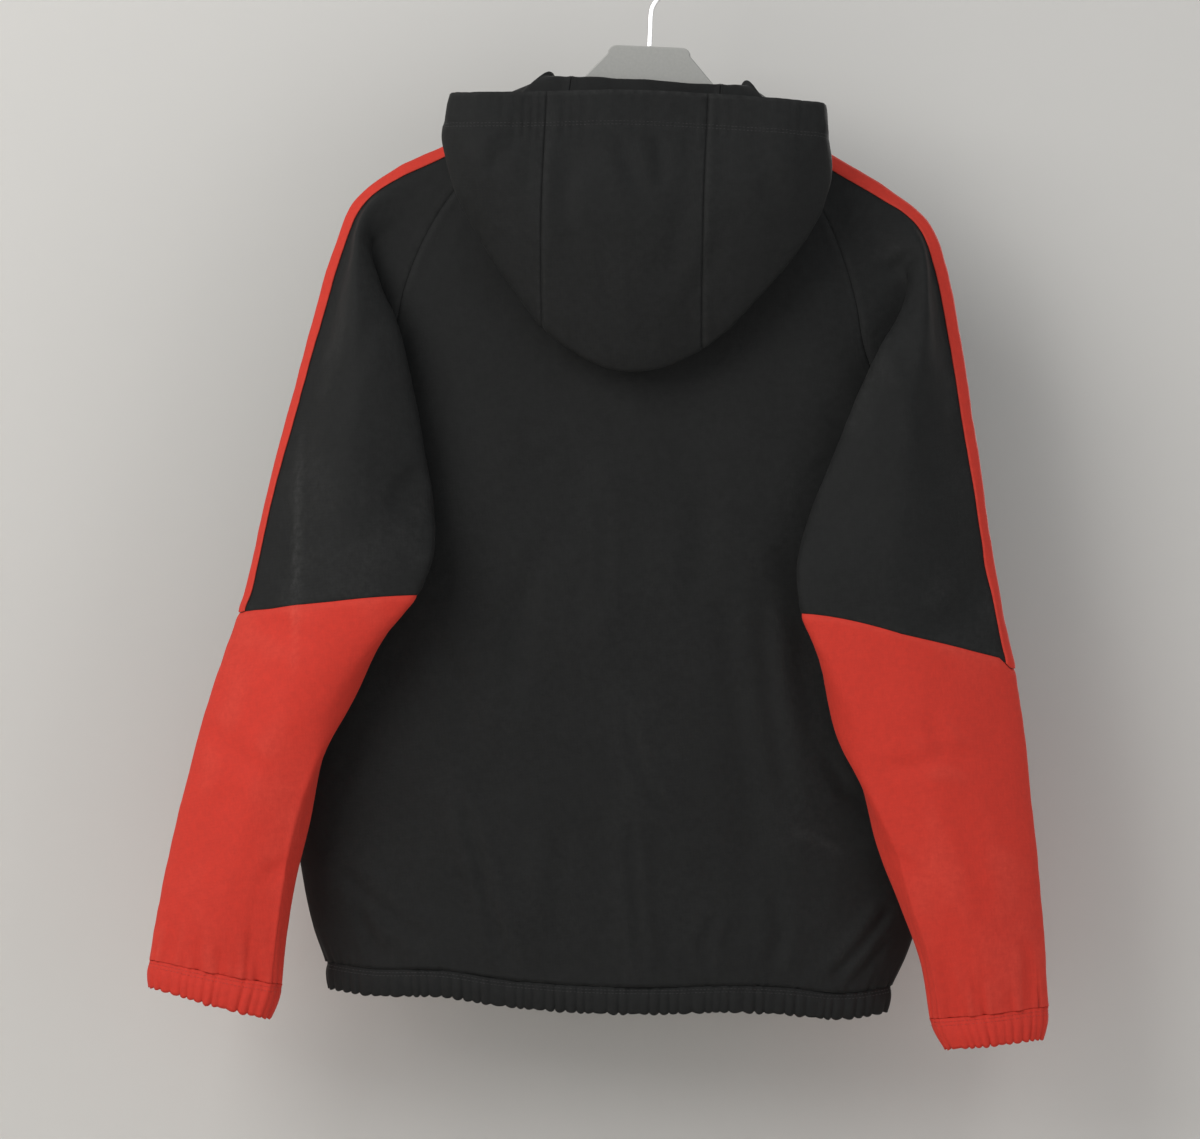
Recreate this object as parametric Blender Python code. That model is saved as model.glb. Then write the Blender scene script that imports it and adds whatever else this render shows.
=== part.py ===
"""A hooded windbreaker hanging on a flat plastic hanger.

Frame: metres, +Z up. The origin is the inside top of the hanger's hook, where a rail
carries it. The garment's back faces -Y, its zipped front faces +Y, and +X is on the
right of someone who looks at its back.

Every piece of cloth is a wall lofted through sections. A section is a row of a short
table, in millimetres, and the rows are joined by one smooth curve in each direction.
"""
import bpy
import bmesh
import numpy as np
from mathutils import Vector

MM = 0.001
COLLECTION = "hooded_windbreaker"
LEFT, RIGHT = -1, 1          # the side of the garment, as the sign of x
BACK, FRONT = -1, 1          # the face of the garment, as the sign of y

# Cloth
WALL = 1.3 * MM              # one layer of woven cloth with its seam allowance
CASING_WALL = 2.6 * MM       # a folded casing with elastic inside
SEAM = 0.3 * MM              # gap between two pieces along a seam
STRIPE_WALL = 1.0 * MM       # an applied band

# Body, from the shoulder ridge down to the hem
RIDGE = ((0, -88), (40, -108), (75, -126.5), (114, -146), (152, -165.5),
         (190, -185), (212, -197), (229, -211), (240, -225))            # across, height
HALF_WIDTH = ((-857, 222.5), (-835, 226.5), (-803, 239.5), (-764, 250), (-680, 264),
              (-600, 268), (-500, 262), (-415, 249.0), (-80, 249.0))    # height, half width
ROLL = 6 * MM                # radius of the cloth over the hanger's arm
FALL = 70 * MM               # drop over which the body fills out to most of its depth
DEPTH = {BACK: 40 * MM, FRONT: 34 * MM}
SIDE_POWER = 3.5             # squareness of the body's section at its side seams
NECK_BACK = -132 * MM        # height of the neck seam at the centre back
NECK_CORNER = (66 * MM, -129.5 * MM)    # across and height where the back meets a sleeve
NECK_FRONT = -170 * MM       # and at the top of the zip
NECK_SCOOP = 7 * MM          # dip of the front neck seam between the zip and the raglan
ZIP_EDGE = 6.2 * MM          # each front stops this far from the centre line
BACK_COLUMNS = 20
FRONT_COLUMNS = 12
HEM_SEAM = ((-240, -829), (-190, -833), (-135, -831), (-87, -836), (-20, -838.5), (40, -837),
            (100, -833), (140, -833), (190, -835.5), (240, -827))       # across, height
HEM_HEIGHT = 21 * MM
HEM_LEVEL = -834.5 * MM      # mean height of the hem seam
HEM_TAPER = 0.992            # the band's lower edge is drawn in to this share of its width
HEM_POINTS = 400             # points round the hem before they are spaced evenly
BODY_ROWS = (-465, -520, -575, -630, -685, -735, -785, -829)   # heights below the armpit

# Raglan seams, neck to armpit: back across and height, front across and height
RAGLAN = ((66, -129.5, 64, -138), (112, -163, 98, -182), (148, -207, 132, -227),
          (168, -245, 156, -270), (181, -283, 175, -312), (189, -320, 194, -348),
          (205, -357, 214, -378), (226, -390, 233, -400), (249, -415, 249, -415))
RAGLAN_LEAN = 6.5 * MM       # the seams stand this far towards -X at mid height
ARMPIT = 8                   # the section at which a sleeve closes to a tube
ARMPIT_STAND = 2.6 * MM      # the tube starts this far outside the body
ARMPIT_GAP = (0.4, 0.3)      # extra gap at the top of the underarm seam and one knot below

# Sleeve outlines: crown across and height, inner edge across and height
OUTLINE = {
    LEFT: ((76, -126.5, 71, -128), (120, -149, 117, -154), (160, -169.7, 156, -184),
           (200, -190.5, 193, -212), (232, -217, 221, -243), (247, -260, 205, -284),
           (258, -307, 189.5, -322), (269, -356, 174, -378), (279, -405, 166, -415),
           (288.5, -453, 157, -458), (297, -500, 149.5, -500), (304.5, -540, 155, -531),
           (316, -580, 182, -568), (329.5, -625, 210, -612), (340.5, -671, 231, -664),
           (350, -718, 244, -717), (358, -762, 250.3, -766), (363.5, -800, 254, -809),
           (367.5, -833, 256, -847)),
    RIGHT: ((76, -126.5, 71, -128), (118, -148, 115, -153), (157, -168, 153, -183),
            (197, -189, 190, -212), (230.5, -215.5, 223, -249), (247, -256, 210, -286),
            (257.5, -304, 194, -322), (267, -355, 172, -378), (277, -404, 158, -415),
            (285, -450, 143.5, -455), (294, -496, 128.5, -496), (302, -532, 127, -533),
            (313, -572, 144, -572), (323.5, -622, 170.5, -626), (331, -670, 190, -672),
            (337.5, -717, 209, -716), (343, -762, 226, -763), (348, -802, 243, -806),
            (352, -839, 253, -852)),
}
# Sleeve depths above the armpit: growth of the fold, y of edge, back face and crown,
# crown roll, across and y of the tuck under the fold
CAP = ((0.0, -10, -10, 0, 3.6, 0, 0), (0.0, -18, -18, 0, 4.0, 0, 0),
       (0.0, -24, -24, 0, 4.2, 0, 0), (0.12, -30, -30, 0, 4.6, 200, -25),
       (0.55, -37, -41, -3, 9.0, 222, -24), (0.85, -45, -55, -10, 13, 226, -22),
       (1.0, -52, -67, -17, 16, 235, -20), (1.0, -57, -76, -23, 18, 243, -19),
       (1.0, -61, -83, -28, 19, 249, -20))
# Sleeve depths below it: y of edge, back face, crown, front face and underarm seam, crown
# roll, and place of the seam on the front face (0 at the inner edge, 1 at the crown)
TUBE = ((-64, -88, -33, -48, -22, 19, 0.80), (-67, -92, -38, -47, -36, 18, 0.62),
        (-68, -94, -42, -46, -44, 17, 0.42), (-67, -93, -44, -44, -47, 16, 0.25),
        (-65, -90, -45, -41, -48, 15, 0.12), (-62, -86, -44, -38, -52, 14.5, 0.05),
        (-59, -81, -42, -34, -54, 14, 0.0), (-56, -76, -40, -31, -54, 13, -0.03),
        (-52, -70, -38, -29, -51, 12, -0.04), (-47, -62, -37, -28, -46.5, 10, -0.04))
# Colour seam, as a section number at the underarm's back side, the crown and its front side
COLOUR_SEAM = {LEFT: (11, 11.3, 14.5), RIGHT: (11, 11.95, 14.5)}
CAP_STEPS = (2, 2, 2, 2, 2, 2, 1, 2)
UPPER_STEPS = 4              # rows of the upper sleeve below the armpit
LOWER_STEPS = 8
FINE = 12                    # fine steps between two sections before they are cut to pieces
DENSE = 12                   # fine steps between two points of a section
# Columns between the stops of a section: seam, tuck, edge, face, crown's back, stripe's back
# and front, over the crown, crown's front, middle, seam
COLUMN_STEPS = (2, 3, 4, 3, 1, 4, 1, 1, 2, 2)
STRIPE_COLUMNS = slice(13, 18)
CROWN_COLUMN = 15            # the sleeve grid's column along the middle of the stripe
OVER_CROWN = 3.2 * MM
LEAST_STEP = 1 * MM
STRIPE_LEAST = 0.35          # the stripe leaves at least this share of the back free of it
STRIPE_START = 2             # row of the sleeve at which the stripe meets the neck
STRIPE_HALF = 7 * MM
STRIPE_SHIFT = {LEFT: -5 * MM, RIGHT: -8 * MM}     # the band sits to the back of the crown
STRIPE_GAP = 0.3 * MM
STRIPE_STOP = 1 * MM         # the band stops this far above the colour seam

# Cuffs and hem are gathered casings
CUFF_DROP = {LEFT: (0, -21.5, 8, -28), RIGHT: (-3, -26, 13, -23)}   # shift of crown, of edge
CUFF_WAVES = 28
HEM_WAVES = 90
GATHER_HEIGHT = 1.2 * MM
CASING_BULGE = 1.5 * MM

# Back folds: from across, height, to across, height, half width, height of the ridge
FOLDS = ((104, -480, 143, -745, 17, 2.6), (78, -500, 118, -760, 16, -2.4),
         (-2, -600, 30, -690, 14, 1.8), (9, -690, 26, -835, 13, 2.2),
         (30, -690, 70, -735, 12, 1.4), (-136, -675, -68, -835, 15, 2.4),
         (-230, -745, -135, -822, 13, 2.0), (228, -760, 170, -835, 13, 2.2),
         (-22, -420, -18, -560, 13, 1.2), (85, -770, 78, -830, 12, 1.6))

# Hood: lines from the neck seam to the free edge. Each row is y and z of its centre back,
# the share of the hood's sideways lean, its tilt, then x, y, z of seven points across one
# side: strip seam, low side, side fold, top side, shoulder, front, zip end
HOOD_LEAN = -16 * MM
HOOD = (
    ((-33, -112, 0.1, 0), (60, -27, -113), (66, -25, -112.5), (74, -21, -111.5),
     (80, -14, -111), (76, -2, -110), (64, 15, -124), (6.2, 27, -164)),
    ((-49, -235, 0.4, 0), (62, -47, -232), (88, -51, -220), (119, -53, -192),
     (117, -42, -150), (84, -4, -113), (66, 21, -128), (6.2, 29, -157)),
    ((-70, -347, 0.7, -90), (64, -66, -322), (101, -69, -281), (143, -65, -217),
     (152, -48, -166), (104, 0, -124), (70, 26, -131), (6.2, 31.5, -148)),
    ((-97, -225, 1.0, 20), (64, -94, -224), (96, -92, -204), (130, -84, -178),
     (151, -62, -150), (121, 3, -137), (75, 30, -133), (6.2, 34, -138)),
    ((-79, -124, 1.0, 30), (64, -77, -125.5), (97, -78, -127), (130, -73, -128.5),
     (148, -56, -130), (131, 5, -147), (79, 32, -131), (6.2, 36, -126)),
)
HOOD_LEAN_ACROSS = (1, 0.8, 0.6, 0.5, 0, 0, 0)
HOOD_ROWS = (2, 4, 4, 4, 3)
HOOD_COLUMNS = (2, 2, 2, 2, 2, 2, 3, 3, 2, 2, 2, 2, 2, 2)
HOOD_SEAM_RISE = 1.3 * MM    # the hood's lower edge stands this far above the neck seam
HOOD_STRIP = 60 * MM         # half width of the hood's centre strip at the neck
HOOD_SEAMS = (12, 18)        # columns of the hood's grid at the centre strip's two seams

# Hanger
PLATE_THICK = 5.0 * MM
PLATE_EDGE = 0.9 * MM        # chamfer of the plate's edge
PLATE_TOP = (33.5 * MM, -81.5 * MM)     # half width and height of its top edge
PLATE_CORNER = 7 * MM
PLATE_FOOT = (57.5 * MM, -115 * MM)     # where its sides turn into the arms
PLATE_DIP = (69.5 * MM, -128.5 * MM)    # and pass under the neck seam
PLATE_UNDER = ((130 * MM, -186 * MM), (60 * MM, -157 * MM), (30 * MM, -150 * MM))
ARM_CLEAR = 2.8 * MM         # arm's top edge under the middle of the cloth on it
ARM_START = 80 * MM
ARM_REACH = 206 * MM
TIP_DEPTH = 20 * MM
TIP_ROUND = 5 * MM
TIP_TURN = (-0.9, 1.3)       # of the arm's end, from its top to its underside
ROUND_POINTS = 5             # points round each of the plate's rounded corners
WIRE = 2.1 * MM              # radius of the hook's wire
HOOK_RADIUS = 18 * MM        # inside of the hook
HOOK_START = np.radians(-40)
HOOK_MOUTH = np.radians(205)
HOOK_POINTS = 17
SHANK = ((0, -68), (0, -56), (0.8, -50), (4.5, -43.5), (10, -38))      # across, height

# Zip
ZIP_WALL = 1.8 * MM
SLIDER = (9 * MM, 3.0 * MM, 12 * MM)
SLIDER_HEIGHT = -141 * MM
LEAN_SPAN = 8 * MM           # of the zip, over which the slider's lean is measured
BRIDGE = (2.2 * MM, 1.2 * MM, 10 * MM)
BRIDGE_GAP = 2.4 * MM        # between the slider's face and its bridge
BRIDGE_FOOT = 1.8 * MM
BRIDGE_SINK = 0.1 * MM       # the bridge's feet start this far inside the slider
PULL = (7 * MM, 1.4 * MM, 28 * MM)
PULL_EYE = 0.7 * MM          # half of the crossbar that turns under the bridge
PULL_SLOT = 7.2 * MM         # lower end of the slot round the bridge
SLOT_WIDTH = 3.4 * MM

COLOURS = {
    "black_cloth": ((0.021, 0.020, 0.021), 0.78, 0.0),
    "red_cloth": ((0.62, 0.050, 0.036), 0.75, 0.0),
    "grey_plastic": ((0.36, 0.36, 0.34), 0.45, 0.0),
    "chrome_wire": ((0.78, 0.78, 0.78), 0.15, 1.0),
    "zip_plastic": ((0.015, 0.015, 0.016), 0.5, 0.0),
    "zip_metal": ((0.03, 0.03, 0.032), 0.35, 0.6),
}


# Curves and surfaces

def soft_line(points, steps):
    """Points on a smooth curve through the given ones, with steps[i] spans after point i."""
    points = np.asarray(points, dtype=float)
    gaps = np.diff(points, axis=0)
    sizes = np.linalg.norm(gaps.reshape(len(gaps), -1, points.shape[-1]), axis=2)
    lengths = np.sqrt(sizes.mean(axis=1)) + 1e-6
    lengths = lengths.reshape((-1,) + (1,) * (points.ndim - 1))
    slopes = gaps / lengths
    middle = (slopes[:-1] * lengths[1:] + slopes[1:] * lengths[:-1]) / (lengths[1:] + lengths[:-1])
    slopes = np.concatenate([slopes[:1], middle, slopes[-1:]])
    line = []
    for i, count in enumerate(steps):
        for t in np.arange(count) / count:
            line.append((2 * t**3 - 3 * t**2 + 1) * points[i] + (3 * t**2 - 2 * t**3) * points[i + 1]
                        + (t**3 - 2 * t**2 + t) * lengths[i] * slopes[i]
                        + (t**3 - t**2) * lengths[i] * slopes[i + 1])
    line.append(points[-1])
    return np.array(line)


def soft_value(pairs, at):
    """Value at one or more keys, in metres, from (key, value) rows in millimetres."""
    line = soft_line(pairs, [8] * (len(pairs) - 1)) * MM
    return np.interp(at, line[:, 0], line[:, 1])


def mix(a, b, t):
    return a + (b - a) * t


def unit(vectors):
    return vectors / np.maximum(np.linalg.norm(vectors, axis=-1, keepdims=True), 1e-12)


def smooth_step(t):
    t = np.clip(t, 0, 1)
    return t * t * (3 - 2 * t)


def grid_normals(grid):
    """Unit normals of a grid of points, each halfway between those of the cells round it."""
    across = np.diff(grid, axis=1)
    down = np.diff(grid, axis=0)
    cells = unit(np.cross(across[:-1] + across[1:], down[:, :-1] + down[:, 1:]))
    cells = np.pad(cells, ((1, 1), (1, 1), (0, 0)), mode="edge")
    return unit(cells[:-1, :-1] + cells[1:, :-1] + cells[:-1, 1:] + cells[1:, 1:])


def cut_rows(fine, rows):
    """Points of a fine grid at a section number for each row and column."""
    rows = np.asarray(rows, dtype=float)
    low = np.clip(np.floor(rows * FINE).astype(int), 0, len(fine) - 2)
    part = (rows * FINE - low)[..., None]
    columns = np.arange(fine.shape[1])[None, :]
    return mix(fine[low, columns], fine[low + 1, columns], part)


def torso(x, z, way):
    """y of the hanging body at x, z: way is BACK or FRONT."""
    drop = np.maximum(soft_value(RIDGE, np.abs(x)) - z, 0)
    roll = ROLL * np.sqrt(1 - (1 - np.minimum(drop / ROLL, 1)) ** 2)
    fall = (DEPTH[way] - ROLL) * (1 - np.exp(-drop / FALL))
    share = np.minimum(np.abs(x) / soft_value(HALF_WIDTH, z), 1)
    return way * (roll + fall) * np.sqrt(1 - share ** SIDE_POWER)


def torso_normal(points, way):
    """Unit normals of the body's surface, by small steps across and up."""
    step = 1 * MM
    x, z = points[..., 0] * 0.999, points[..., 2]
    across = (torso(x + step, z, way) - torso(x - step, z, way)) / (2 * step)
    up = (torso(x, z + step, way) - torso(x, z - step, way)) / (2 * step)
    return unit(np.stack([-across, np.ones_like(x), -up], axis=-1)) * way


def distance_to_line(x, z, start, end):
    """Distance from x, z to a stretch of straight line, and the place along it."""
    along = end - start
    place = ((x - start[0]) * along[0] + (z - start[1]) * along[1]) / (along @ along)
    near = np.clip(place, 0, 1)
    return np.hypot(x - start[0] - near * along[0], z - start[1] - near * along[1]), place


def fold_height(x, z):
    """Height of the soft folds on the back at x, z."""
    height = np.zeros_like(x)
    for row in FOLDS:
        x0, z0, x1, z1, width, ridge = np.array(row) * MM
        away, place = distance_to_line(x, z, np.array([x0, z0]), np.array([x1, z1]))
        fade = smooth_step(4 * place + 0.5) * smooth_step(4.5 - 4 * place)
        height += ridge * np.exp(-(away / width) ** 2) * fade
    return height


# Objects

def clear_scene():
    for thing in list(bpy.data.objects):
        bpy.data.objects.remove(thing, do_unlink=True)


def make_material(name):
    colour, roughness, metallic = COLOURS[name]
    material = bpy.data.materials.new(name)
    material.use_nodes = True
    shader = material.node_tree.nodes["Principled BSDF"]
    shader.inputs["Base Color"].default_value = (*colour, 1)
    shader.inputs["Roughness"].default_value = roughness
    shader.inputs["Metallic"].default_value = metallic
    return material


def add_object(name, data, material):
    piece = bpy.data.objects.new(name, data)
    piece.data.materials.append(materials[material])
    collection.objects.link(piece)
    return piece


def add_wall(name, material, middle, normals, thickness):
    """A closed sheet of cloth, half its thickness to each side of a grid of points."""
    rows, columns = middle.shape[:2]
    mesh = bmesh.new()
    sides = []
    for half in (thickness / 2, -thickness / 2):
        points = middle + normals * half
        sides.append([[mesh.verts.new(point) for point in row] for row in points])
    for side in sides:
        for r in range(rows - 1):
            for c in range(columns - 1):
                mesh.faces.new((side[r][c], side[r][c + 1], side[r + 1][c + 1], side[r + 1][c]))
    border = [(0, c) for c in range(columns - 1)]
    border += [(r, columns - 1) for r in range(rows - 1)]
    border += [(rows - 1, c) for c in range(columns - 1, 0, -1)]
    border += [(r, 0) for r in range(rows - 1, 0, -1)]
    for (r0, c0), (r1, c1) in zip(border, border[1:] + border[:1]):
        mesh.faces.new((sides[0][r0][c0], sides[0][r1][c1], sides[1][r1][c1], sides[1][r0][c0]))
    bmesh.ops.recalc_face_normals(mesh, faces=mesh.faces)
    data = bpy.data.meshes.new(name)
    mesh.to_mesh(data)
    mesh.free()
    data.shade_smooth()
    data.set_sharp_from_angle(angle=np.radians(50))
    return add_object(name, data, material)


def curve_to_mesh(piece):
    """Replace a curve object by its mesh, with the loose caps welded on."""
    evaluated = piece.evaluated_get(bpy.context.evaluated_depsgraph_get())
    data = bpy.data.meshes.new_from_object(evaluated)
    mesh = bmesh.new()
    mesh.from_mesh(data)
    bmesh.ops.remove_doubles(mesh, verts=mesh.verts, dist=1e-5)
    bmesh.ops.recalc_face_normals(mesh, faces=mesh.faces)
    mesh.to_mesh(data)
    mesh.free()
    solid = bpy.data.objects.new(piece.name, data)
    solid.matrix_world = piece.matrix_world
    name = piece.name
    bpy.data.objects.remove(piece, do_unlink=True)
    solid.name = name
    collection.objects.link(solid)
    return solid


# Sleeves

def seam_point(row, lean, side, way):
    """Point of a raglan seam on the body's surface."""
    across, height = (row[0], row[1]) if way == BACK else (row[2], row[3])
    x = across * MM + lean * side * -1
    z = height * MM
    return np.array([side * x, torso(x, z, way), z])


def cap_section(i, side):
    """Nine points of a section above the armpit, back seam over the crown to front seam."""
    growth, edge_y, back_y, crown_y, roll, tuck_x, tuck_y = CAP[i]
    crown_x, crown_z, edge_x, edge_z = OUTLINE[side][i]
    lean = RAGLAN_LEAN * np.sin(np.pi * i / ARMPIT)
    back = seam_point(RAGLAN[i], lean, side, BACK)
    front = seam_point(RAGLAN[i], lean, side, FRONT)
    out = unit(np.array([mix(0.46, 0.97, growth), mix(0.89, 0.22, growth)]))
    crown = np.array([side * crown_x, crown_y, crown_z]) * MM
    inward = np.array([-side * out[0], 0, -out[1]]) * roll * MM
    depth = np.array([0, roll * MM, 0])
    crown_back = crown + 0.85 * inward - depth
    crown_front = crown + 0.85 * inward + depth

    def on_body(start, end, share, way):
        point = mix(start, end, share)
        point[1] = torso(abs(point[0]), point[2], way)
        return point

    edge = np.array([side * edge_x, edge_y, edge_z]) * MM
    tuck = np.array([side * tuck_x * MM, tuck_y * MM, mix(back[2], crown[2], 0.25)])
    face = mix(edge, crown, 0.5)
    face[1] = back_y * MM
    middle = mix(crown_front, front, 0.5)
    middle[1] = mix(torso(abs(middle[0]), middle[2], FRONT), middle[1], 0.35 * growth)
    points = [back,
              mix(on_body(back, crown_back, 0.3, BACK), tuck, growth),
              mix(on_body(back, crown_back, 0.6, BACK), edge, growth),
              mix(on_body(back, crown_back, 0.85, BACK), face, growth),
              crown_back, crown, crown_front, middle, front]
    if i == ARMPIT:
        stand = np.array([side * ARMPIT_STAND, 0, -ARMPIT_STAND / 2])
        points[0] = points[0] + stand
        points[-1] = points[-1] + stand
    return points


def tube_section(i, side):
    """Nine points round a section below the armpit, which start and end at its seam."""
    edge_y, back_y, crown_y, front_y, seam_y, roll, seam = TUBE[i - ARMPIT - 1]
    crown_x, crown_z, edge_x, edge_z = OUTLINE[side][i]
    edge = np.array([side * edge_x, edge_y, edge_z]) * MM
    crown = np.array([side * crown_x, crown_y, crown_z]) * MM

    def on_face(place, face_y):
        share = abs(place)
        point = mix(edge, crown, share)
        bulge = face_y * MM - (edge[1] + crown[1]) / 2
        point[1] += bulge * np.sqrt(max(1 - abs(2 * share - 1) ** 2.6, 0))
        return point

    inward = np.array([-side, 0, 0]) * roll * MM
    depth = np.array([0, roll * MM, 0])
    crown_back = crown + 0.7 * inward - depth
    crown_front = crown + 0.7 * inward + depth
    near_armpit = np.clip(seam / 0.8, 0, 1)
    start = on_face(seam, front_y)
    start[1] = seam_y * MM
    edge_place = (1 - near_armpit) * 0.16
    tuck_place = mix((edge_place - seam) / 2, -0.7 * seam, near_armpit)
    tuck = on_face(tuck_place, back_y if tuck_place > 0 else front_y)
    middle = on_face(mix(max(seam, 0), 1, 0.45), front_y)
    middle[1] = mix(middle[1], (start[1] + crown_front[1]) / 2, near_armpit)
    return [start, tuck, on_face(edge_place, back_y), on_face(0.5, back_y),
            crown_back, crown, crown_front, middle, start]


def place_columns(section, shift):
    """Points of one dense section at the sleeve's columns, four of them across the stripe."""
    steps = np.linalg.norm(np.diff(section, axis=0), axis=1)
    length = np.concatenate([[0], np.cumsum(steps)])
    seam, tuck, edge, face, crown_back, crown, crown_front, middle, end = length[::DENSE]
    stripe_back = max(crown + shift - STRIPE_HALF, STRIPE_LEAST * crown)
    stripe_front = crown + shift + STRIPE_HALF
    over = crown + OVER_CROWN
    squeeze = min(1, (stripe_back - LEAST_STEP) / crown_back)
    back = [seam, tuck * squeeze, edge * squeeze, face * squeeze, crown_back * squeeze]
    front = [stripe_front, over, max(crown_front, over + LEAST_STEP), middle, end]
    stops = back + [stripe_back] + front
    at = [np.linspace(low, high, count, endpoint=False)
          for low, high, count in zip(stops, stops[1:], COLUMN_STEPS)]
    at = np.concatenate(at + [[end]])
    return np.stack([np.interp(at, length, section[:, k]) for k in range(3)], axis=1)


def sleeve_surface(side):
    """Fine grid of a whole sleeve, neck to cuff seam, with its normals."""
    sections = [cap_section(i, side) for i in range(ARMPIT + 1)]
    sections += [tube_section(i, side) for i in range(ARMPIT + 1, len(OUTLINE[side]))]
    lengthwise = soft_line(np.array(sections), [FINE] * (len(sections) - 1))
    dense = soft_line(np.swapaxes(lengthwise, 0, 1), [DENSE] * (len(sections[0]) - 1))
    dense = np.swapaxes(dense, 0, 1)
    fine = np.array([place_columns(section, STRIPE_SHIFT[side]) for section in dense])
    normals = grid_normals(fine)
    normals *= np.sign((normals[:, CROWN_COLUMN, 0] * side).sum())
    join_underarm(fine, normals, side)
    return fine, normals


def underarm_knots(side):
    """Section numbers between which both sides of the underarm seam run straight."""
    back, _, front = COLOUR_SEAM[side]
    end = len(OUTLINE[side]) - 1
    middles = (ARMPIT + back) / 2, (back + front) / 2, (front + end) / 2
    return np.array([ARMPIT, middles[0], back, middles[1], front, middles[2], end])


def join_underarm(fine, normals, side):
    """Give both sides of the underarm seam one line of straight stretches and one normal."""
    rows = np.round(underarm_knots(side) * FINE).astype(int)
    below = np.arange(rows[0], rows[-1] + 1)
    shared = unit(normals[rows, 0] + normals[rows, -1])
    for column, inner in ((0, 1), (-1, -2)):
        knots = fine[rows, column]
        for k, gap in enumerate(ARMPIT_GAP):
            knots[k] += unit(fine[rows[k], inner] - knots[k]) * gap * MM
        facing = np.vstack([normals[rows[0], column], shared[1:]])
        for k in range(3):
            fine[below, column, k] = np.interp(below, rows, knots[:, k])
            normals[below, column, k] = np.interp(below, rows, facing[:, k])


def column_rows(side, above):
    """Section numbers of an upper or lower sleeve's rows, one column for each grid column."""
    low_back, crown, low_front = COLOUR_SEAM[side]
    count = sum(COLUMN_STEPS) + 1
    columns = np.arange(count)
    back = mix(low_back, crown, smooth_step((columns - 5) / (CROWN_COLUMN - 5)))
    front = mix(crown, low_front, (columns - CROWN_COLUMN) / (count - 1 - CROWN_COLUMN))
    split = np.where(columns <= CROWN_COLUMN, back, front)
    lateness = (split - low_back) / (low_front - low_back)
    knots = underarm_knots(side)
    if above:
        steps = np.arange(1, UPPER_STEPS + 1)[:, None]
        at_back = mix(ARMPIT, low_back, steps / UPPER_STEPS)
        at_front = knots[steps]
        cap = np.repeat(cap_rows()[:, None], count, axis=1)
        return np.vstack([cap, mix(at_back, at_front, lateness)])
    steps = np.arange(LOWER_STEPS + 1)[:, None]
    at_back = np.interp(steps, np.arange(0, LOWER_STEPS + 1, 2), knots[2:])
    at_front = np.interp(steps, np.arange(0, LOWER_STEPS + 1, 4), knots[4:])
    return mix(at_back, at_front, lateness)


def cap_rows():
    """Section numbers of the rows from neck to armpit, which the body panels share."""
    rows = [i + step / count for i, count in enumerate(CAP_STEPS) for step in range(count)]
    return np.array(rows + [ARMPIT], dtype=float)


def narrow(grid, by=SEAM / 2):
    """Move a grid's first and last columns in by half a seam's gap."""
    grid = grid.copy()
    grid[:, 0] += unit(grid[:, 1] - grid[:, 0]) * by
    grid[:, -1] += unit(grid[:, -2] - grid[:, -1]) * by
    return grid


def shorten(grid, first=0.0, last=0.0):
    """Move a grid's first and last rows in along the cloth."""
    grid = grid.copy()
    grid[0] += unit(grid[1] - grid[0]) * first
    grid[-1] += unit(grid[-2] - grid[-1]) * last
    return grid


def mitred_edges(side):
    """The seams' normals, halfway between the sleeve's and the body's, set on the sleeve too."""
    fine, normals = surfaces[side]
    edges = {}
    for way, column in ((BACK, 0), (FRONT, -1)):
        rows = np.arange(0, ARMPIT * FINE)
        body = torso_normal(fine[rows, column], way)
        sleeve = normals[rows, column]
        shared = unit(body + sleeve)
        normals[rows, column] = shared
        edges[way] = np.vstack([shared, (side, 0, 0)])
    return edges


def add_sleeve(side, word):
    """Upper and lower sleeve, stripe and cuff of one side."""
    fine, normals = surfaces[side]
    for part, material, above in (("upper", "black_cloth", True), ("lower", "red_cloth", False)):
        rows = column_rows(side, above)
        grid = narrow(cut_rows(fine, rows))
        grid = shorten(grid, 0 if above else SEAM / 2, SEAM / 2)
        add_wall(f"sleeve_{word}_{part}", material, grid, unit(cut_rows(normals, rows)), WALL)
    add_stripe(side, word)
    add_cuff(side, word)


def add_stripe(side, word):
    """One plain band sewn on along the crown, from the neck to the colour seam."""
    fine, normals = surfaces[side]
    rows = column_rows(side, True)[STRIPE_START:]
    cloth = shorten(cut_rows(fine, rows)[:, STRIPE_COLUMNS], 0, STRIPE_STOP)
    facing = unit(cut_rows(normals, rows)[:, STRIPE_COLUMNS])
    lift = WALL / 2 + STRIPE_GAP + STRIPE_WALL / 2
    add_wall(f"stripe_{word}", "red_cloth", cloth + facing * lift, facing, STRIPE_WALL)


def casing(top, bottom, waves, outward):
    """Grid of a gathered band between two lines, with soft waves all along it."""
    phase = np.linspace(0, waves * 2 * np.pi, len(top))
    wave = np.sin(phase) * GATHER_HEIGHT / 2
    rows = []
    for share, bulge, ripple in ((0, 0, 0.7), (0.5, 1, 1), (1, 0.2, 0.8)):
        push = bulge * CASING_BULGE + ripple * wave
        rows.append(mix(top, bottom, share) + outward * push[:, None])
    return np.array(rows)


def even_line(points, count):
    """The same line with its points evenly spaced."""
    lengths = np.concatenate([[0], np.cumsum(np.linalg.norm(np.diff(points, axis=0), axis=1))])
    at = np.linspace(0, lengths[-1], count)
    return np.stack([np.interp(at, lengths, points[:, k]) for k in range(3)], axis=1)


def flat_outward(line):
    """Outward directions of a closed-round line, level with the floor."""
    along = np.gradient(line, axis=0)
    turned = unit(np.stack([along[:, 1], -along[:, 0], np.zeros(len(line))], axis=1))
    middle = line.mean(axis=0)
    return turned * np.sign(((line - middle) * turned).sum())


def join_ends(outward):
    """Give both ends of a ring that meets itself one outward direction."""
    outward = outward.copy()
    outward[[0, -1]] = unit(outward[0] + outward[-1])
    return outward


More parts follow.
